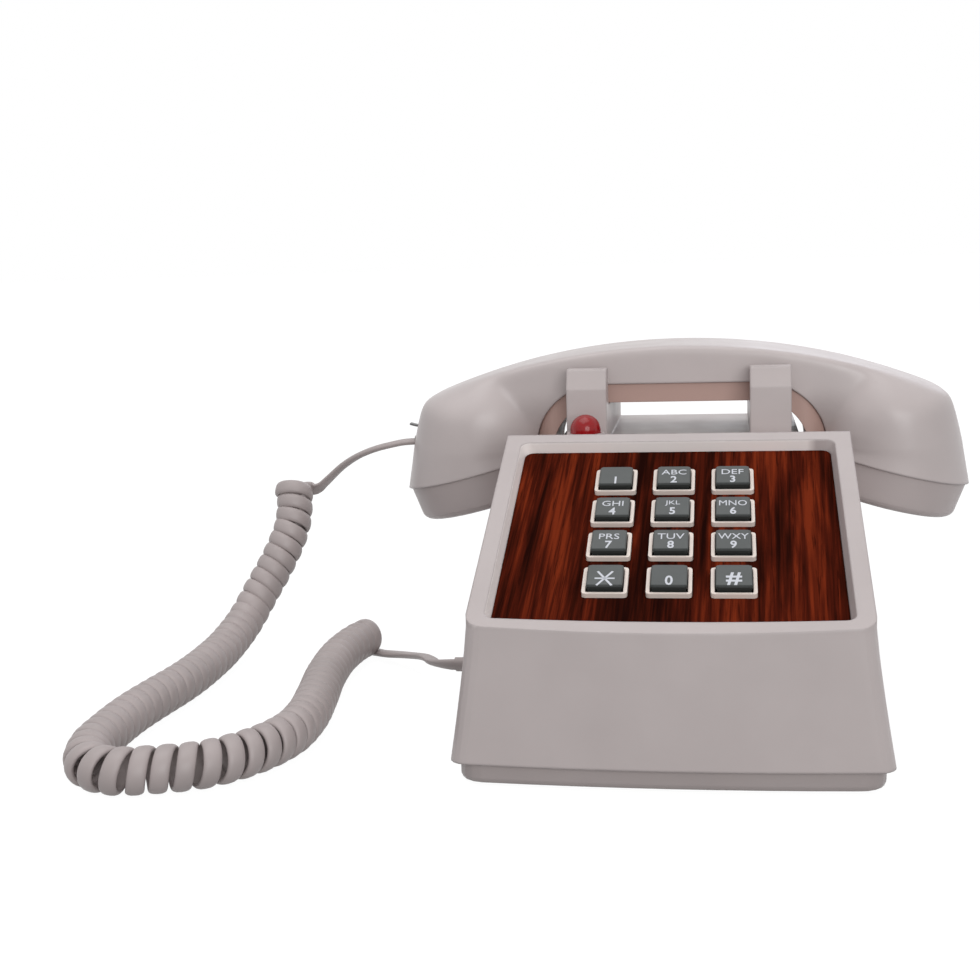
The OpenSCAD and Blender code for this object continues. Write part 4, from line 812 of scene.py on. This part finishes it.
def skin(inset, count=56):
    """Rows of points of one half, drawn in by inset: front lower edge, top, rear lower edge.

    The half depth is the larger of two, melted together by a high power: the slab of the
    handle, and a dome over the cup whose radius shrinks by dome_slope a millimetre above
    dome_z.
    """
    t = 1 - (1 - np.linspace(0, 1, 400)[None, :]) ** 2
    x = edges[:, :1] + t * lengths[:, None] * ways[:, :1]
    z = edges[:, 1:] + t * lengths[:, None] * ways[:, 1:]
    dome = cup_r - dome_slope * (z - dome_z + np.sqrt((z - dome_z) ** 2 + dome_blend**2)) / 2
    side = np.sqrt(np.clip(1 - (np.minimum(x - cup_x, 0) / dome) ** 2, 0, 1))

    # Each section closes at its end, as a superellipse or, at the seam, as half a circle.
    disc = np.where(t <= 0.5, 1, np.sqrt(np.maximum(0, 1 - (2 * np.maximum(t, 0.5) - 1) ** 2)))
    slab = np.maximum(0, 1 - t ** tightness[:, None]) ** (1 / tightness[:, None])
    end = slab + (disc - slab) * rounds[:, None]
    grip = (half_d - inset) * rising(lips[:, None] / half_d, t) * end
    cup = (dome - inset) * np.minimum(rising(lips[:, None] / cup_r, t), side) * end
    depth = (grip**melt + np.maximum(cup, 0) ** melt) ** (1 / melt)

    # The inset also shortens the section, and starts it higher where its lip is narrow.
    full = np.where(np.arange(len(lips)) == len(lips) - 1, cup_r, half_d)
    share = (lips / full)[:, None]
    start = edges + inset * (1 - share) * ways
    run = t * (lengths[:, None] - inset * (2 - share))

    # Points are spaced evenly along each section's own outline.
    step = np.hypot(np.diff(run, axis=1), np.diff(depth, axis=1))
    gone = np.concatenate([np.zeros((len(run), 1)), np.cumsum(step, axis=1)], 1)
    even = np.linspace(0, 1, count)
    run = np.array([np.interp(even * g[-1], g, r) for g, r in zip(gone, run)])
    depth = np.array([np.interp(even * g[-1], g, d) for g, d in zip(gone, depth)])
    x = start[:, :1] + run * ways[:, :1]
    z = start[:, 1:] + run * ways[:, 1:]
    front = np.stack([x, handset_y - depth, z], -1)
    rear = np.stack([x, handset_y + depth, z], -1)[:, -2::-1]
    rows = np.concatenate([front, rear], 1)

    # Three more rows fill the last gap, between the fan and the seam.
    between = np.linspace(0, 1, 5)[1:-1, None, None]
    return np.concatenate([rows[:-1], rows[-2] + (rows[-1] - rows[-2]) * between, rows[-1:]])


half = skin(0.0)
print("the outer skin's half has", len(half), "sections of", len(half[0]), "points")

# %% Close the shell
def both_halves(rows):
    """The mirrored half first, then the half itself, sharing the middle section."""
    return np.concatenate([rows[:0:-1] * [-1, 1, 1], rows])


outer, inner = both_halves(half), both_halves(skin(shell_t))
section_n, point_n = outer.shape[:2]
outer_n = section_n * point_n
quads = grid_faces(section_n, point_n)[:, ::-1]
front_lip = np.stack([np.arange(section_n - 1), np.arange(1, section_n)], -1) * point_n
left_seam = np.stack([np.arange(point_n - 1), np.arange(1, point_n)], -1)


def border(pairs):
    """Quads from a run of outer points to the inner points behind them."""
    return np.stack([pairs[:, 1], pairs[:, 0], pairs[:, 0] + outer_n, pairs[:, 1] + outer_n], -1)


faces = np.concatenate([
    quads, quads[:, ::-1] + outer_n,
    border(front_lip), border(front_lip[:, ::-1] + point_n - 1),
    border(left_seam[:, ::-1]), border(left_seam + outer_n - point_n)])
handset_skin = put_mesh("handset_skin", np.concatenate([outer, inner]) * MM, faces, ivory,
                        smooth_angle=50)
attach(handset_skin, "handset")
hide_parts("handset_outer_shell")

# %% [markdown]
# ## Key legends
#
# The letters and digits are printed in white on the keys. They are set as text, turned
# into a mesh, scaled to a cap height in millimetres and laid on the sloped key tops,
# a few hundredths of a millimetre proud, as a layer of ink stands.

# %% Text on the panel
rim_y, front_h, keypad_at, key_top = -102.0, 47.6, 57.6, -0.4
ink_top, ink_foot = 0.05, -0.02


def on_panel(across, up, out):
    """Panel coordinates to the telephone's, in mm: up runs along the slope, out leaves it."""
    return np.stack([across, rim_y + up * math.cos(slope) - out * math.sin(slope),
                     front_h + up * math.sin(slope) + out * math.cos(slope)], -1)


def star(height, centre, width):
    """A star of three crossed bars, in the same form as a line of text."""
    lean, half_bar = 0.38, 0.36
    tips = np.array([[width / 2, 0], [width * lean, height / 2], [-width * lean, height / 2]])
    across = unit(np.stack([-tips[:, 1], tips[:, 0]], -1)) * half_bar
    corners = np.stack([-tips - across, tips - across, tips + across, -tips + across], 1)
    flat = corners.reshape(-1, 2)
    points = np.concatenate([flat, np.full((len(flat), 1), ink_top)], 1)
    return points + [0, centre, 0], [[4 * bar + k for k in range(4)] for bar in range(3)]


def flat_text(words, cap, centre, narrow):
    """One line of text as points (across, up, out) and faces: cap mm high, then narrowed."""
    if words == "*":
        return star(cap, centre, cap * narrow)
    data = bpy.data.curves.new("line", "FONT")
    data.body, data.align_x, data.extrude, data.resolution_u = words, "CENTER", 0.02, 3
    data.offset = 0.02 if len(words) == 1 else 0.0
    line = bpy.data.objects.new("line", data)
    scene.collection.objects.link(line)
    bpy.context.view_layer.update()
    drawn = line.evaluated_get(bpy.context.evaluated_depsgraph_get())
    mesh = bpy.data.meshes.new_from_object(drawn)
    points = np.empty(len(mesh.vertices) * 3)
    mesh.vertices.foreach_get("co", points)
    points = points.reshape(-1, 3)
    low, high = points.min(0), points.max(0)
    points[:, :2] = (points[:, :2] - (low[:2] + high[:2]) / 2) * cap / (high[1] - low[1])
    points[:, 0] *= narrow
    points[:, 1] += centre
    points[:, 2] = np.where(points[:, 2] > 0, ink_top, ink_foot)
    faces = [list(p.vertices) for p in mesh.polygons]
    bpy.data.objects.remove(line)
    return points, faces


print("a key's middle is at", np.round(on_panel(0, keypad_at, key_top), 1).tolist())

# %% Print the keys
# Each legend: its key, its lines (words, cap height, centre, narrowing), column and row.
legends = [("1", [("1", 4.2, -2.9, 0.8)], -1, 3)]
letters = ("ABC", "DEF", "GHI", "JKL", "MNO", "PRS", "TUV", "WXY")
for digit, words in enumerate(letters, 2):
    narrow = 0.9 if words in ("MNO", "WXY") else 1
    lines = [(words, 3.0, 1.8, narrow), (str(digit), 4.0, -2.7, 0.8)]
    legends.append((str(digit), lines, (digit - 1) % 3 - 1, 3 - (digit - 1) // 3))
legends += [("star", [("*", 7.2, -1.7, 0.83)], -1, 0), ("0", [("0", 4.8, -2.6, 0.75)], 0, 0),
            ("hash", [("#", 6.4, -1.7, 0.88)], 1, 0)]
for key, lines, column, row in legends:
    points, faces, count = [], [], 0
    for line in lines:
        p, f = flat_text(*line)
        points.append(p)
        faces += [[i + count for i in face] for face in f]
        count += len(p)
    across, up, out = np.concatenate(points).T
    placed = on_panel(across + column * key_pitch, up + keypad_at + (row - 1.5) * key_pitch,
                      out + key_top)
    mesh = bpy.data.meshes.new(f"legend_{key}")
    mesh.from_pydata((placed * MM).tolist(), [], faces)
    mesh.materials.append(ink)
    legend = bpy.data.objects.new(f"legend_{key}", mesh)
    scene.collection.objects.link(legend)
    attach(legend, f"key_{key}")
print("legends:", len(legends))

# %% [markdown]
# ## Strain relief and plug
#
# Where the ribbon enters the housing it is held by a smooth tapered sleeve, which
# spreads the bend so that the copper inside does not break. It is round at the wall
# and flat at its tip, where it hugs the ribbon. At the other end a clear plug holds
# the ribbon in the handset, under a latch: a thin sprung tongue.

# %% Tapered sleeve
exit_x, exit_y, exit_z, relief_len, relief_inside = 62.8, -25.0, 15.0, 12, 2.6
wall_r, tip_t, tip_w = 2.75, 1.65, 3.2  # half sizes: round at the wall, flat at the tip
sleeve_n, sleeve_ring = 90, 32
along_x = np.linspace(-relief_inside, relief_len, sleeve_n)
share = np.clip(along_x / relief_len, 0, 1)[:, None]
tip_power = 1 - 0.25 * share
ring_angle = np.linspace(0, 2 * math.pi, sleeve_ring, endpoint=False)
ring_t = (wall_r + (tip_t - wall_r) * share) * bent(np.cos(ring_angle), tip_power)
ring_w = (wall_r + (tip_w - wall_r) * share) * bent(np.sin(ring_angle), tip_power)
thin_way = unit(entry_side)
wide_way = np.cross([-1, 0, 0], thin_way)
sleeve_line = np.stack([-(exit_x + along_x), np.full(sleeve_n, exit_y),
                        np.full(sleeve_n, exit_z)], -1)
sleeve_points = (sleeve_line[:, None] + ring_t[..., None] * thin_way
                 + ring_w[..., None] * wide_way)
sleeve = put_mesh("strain_relief_sleeve", sleeve_points * MM,
                  grid_faces(sleeve_n, sleeve_ring, round_columns=True), cord_vinyl,
                  caps=end_caps(sleeve_n, sleeve_ring))
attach(sleeve, "base")
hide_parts("strain_relief")

# %% Clear plug
plug_x = np.array([-84, -84, -98.5, -99.4, -103.4, -103.4])
plug_half = np.array([0.01, 3.0, 3.2, 2.5, 2.5, 0.01])[:, None]
plug_z, plug_n, plug_ring = 80, len(plug_x), 24
square_power, y_stretch = 0.35, 1.05
ring_angle = np.linspace(0, 2 * math.pi, plug_ring, endpoint=False)
square_y = bent(np.cos(ring_angle), square_power)
square_z = bent(np.sin(ring_angle), square_power)
plug_points = np.stack([np.broadcast_to(plug_x[:, None], (plug_n, plug_ring)),
                        handset_y + plug_half * square_y * y_stretch,
                        plug_z + plug_half * square_z], -1)
plug = put_mesh("cord_plug", plug_points * MM,
                grid_faces(plug_n, plug_ring, round_columns=True)[:, ::-1], clear,
                caps=[cap[::-1] for cap in end_caps(plug_n, plug_ring)])
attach(plug, "handset")
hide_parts("handset_plug")

# %% Latch
latch_half_w, latch_half_t = 1.5, 0.35
latch_line = smooth_route([[-99.5, handset_y, 86.2], [-102.6, handset_y, 86.4],
                           [-105.4, handset_y, 87.1]], per_span=8)
latch_way = unit(np.gradient(latch_line, axis=0))
latch_up = np.cross(latch_way, [0, -1, 0])
corner_pairs = np.array([[-1, -1], [1, -1], [1, 1], [-1, 1]])
latch_points = (latch_line[:, None]
                + corner_pairs[None, :, :1] * latch_half_w * np.array([0, 1, 0])
                + corner_pairs[None, :, 1:] * latch_half_t * latch_up[:, None])
latch = put_mesh("plug_latch", latch_points * MM,
                 grid_faces(len(latch_line), 4, round_columns=True), latch_grey,
                 caps=end_caps(len(latch_line), 4))
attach(latch, "handset")
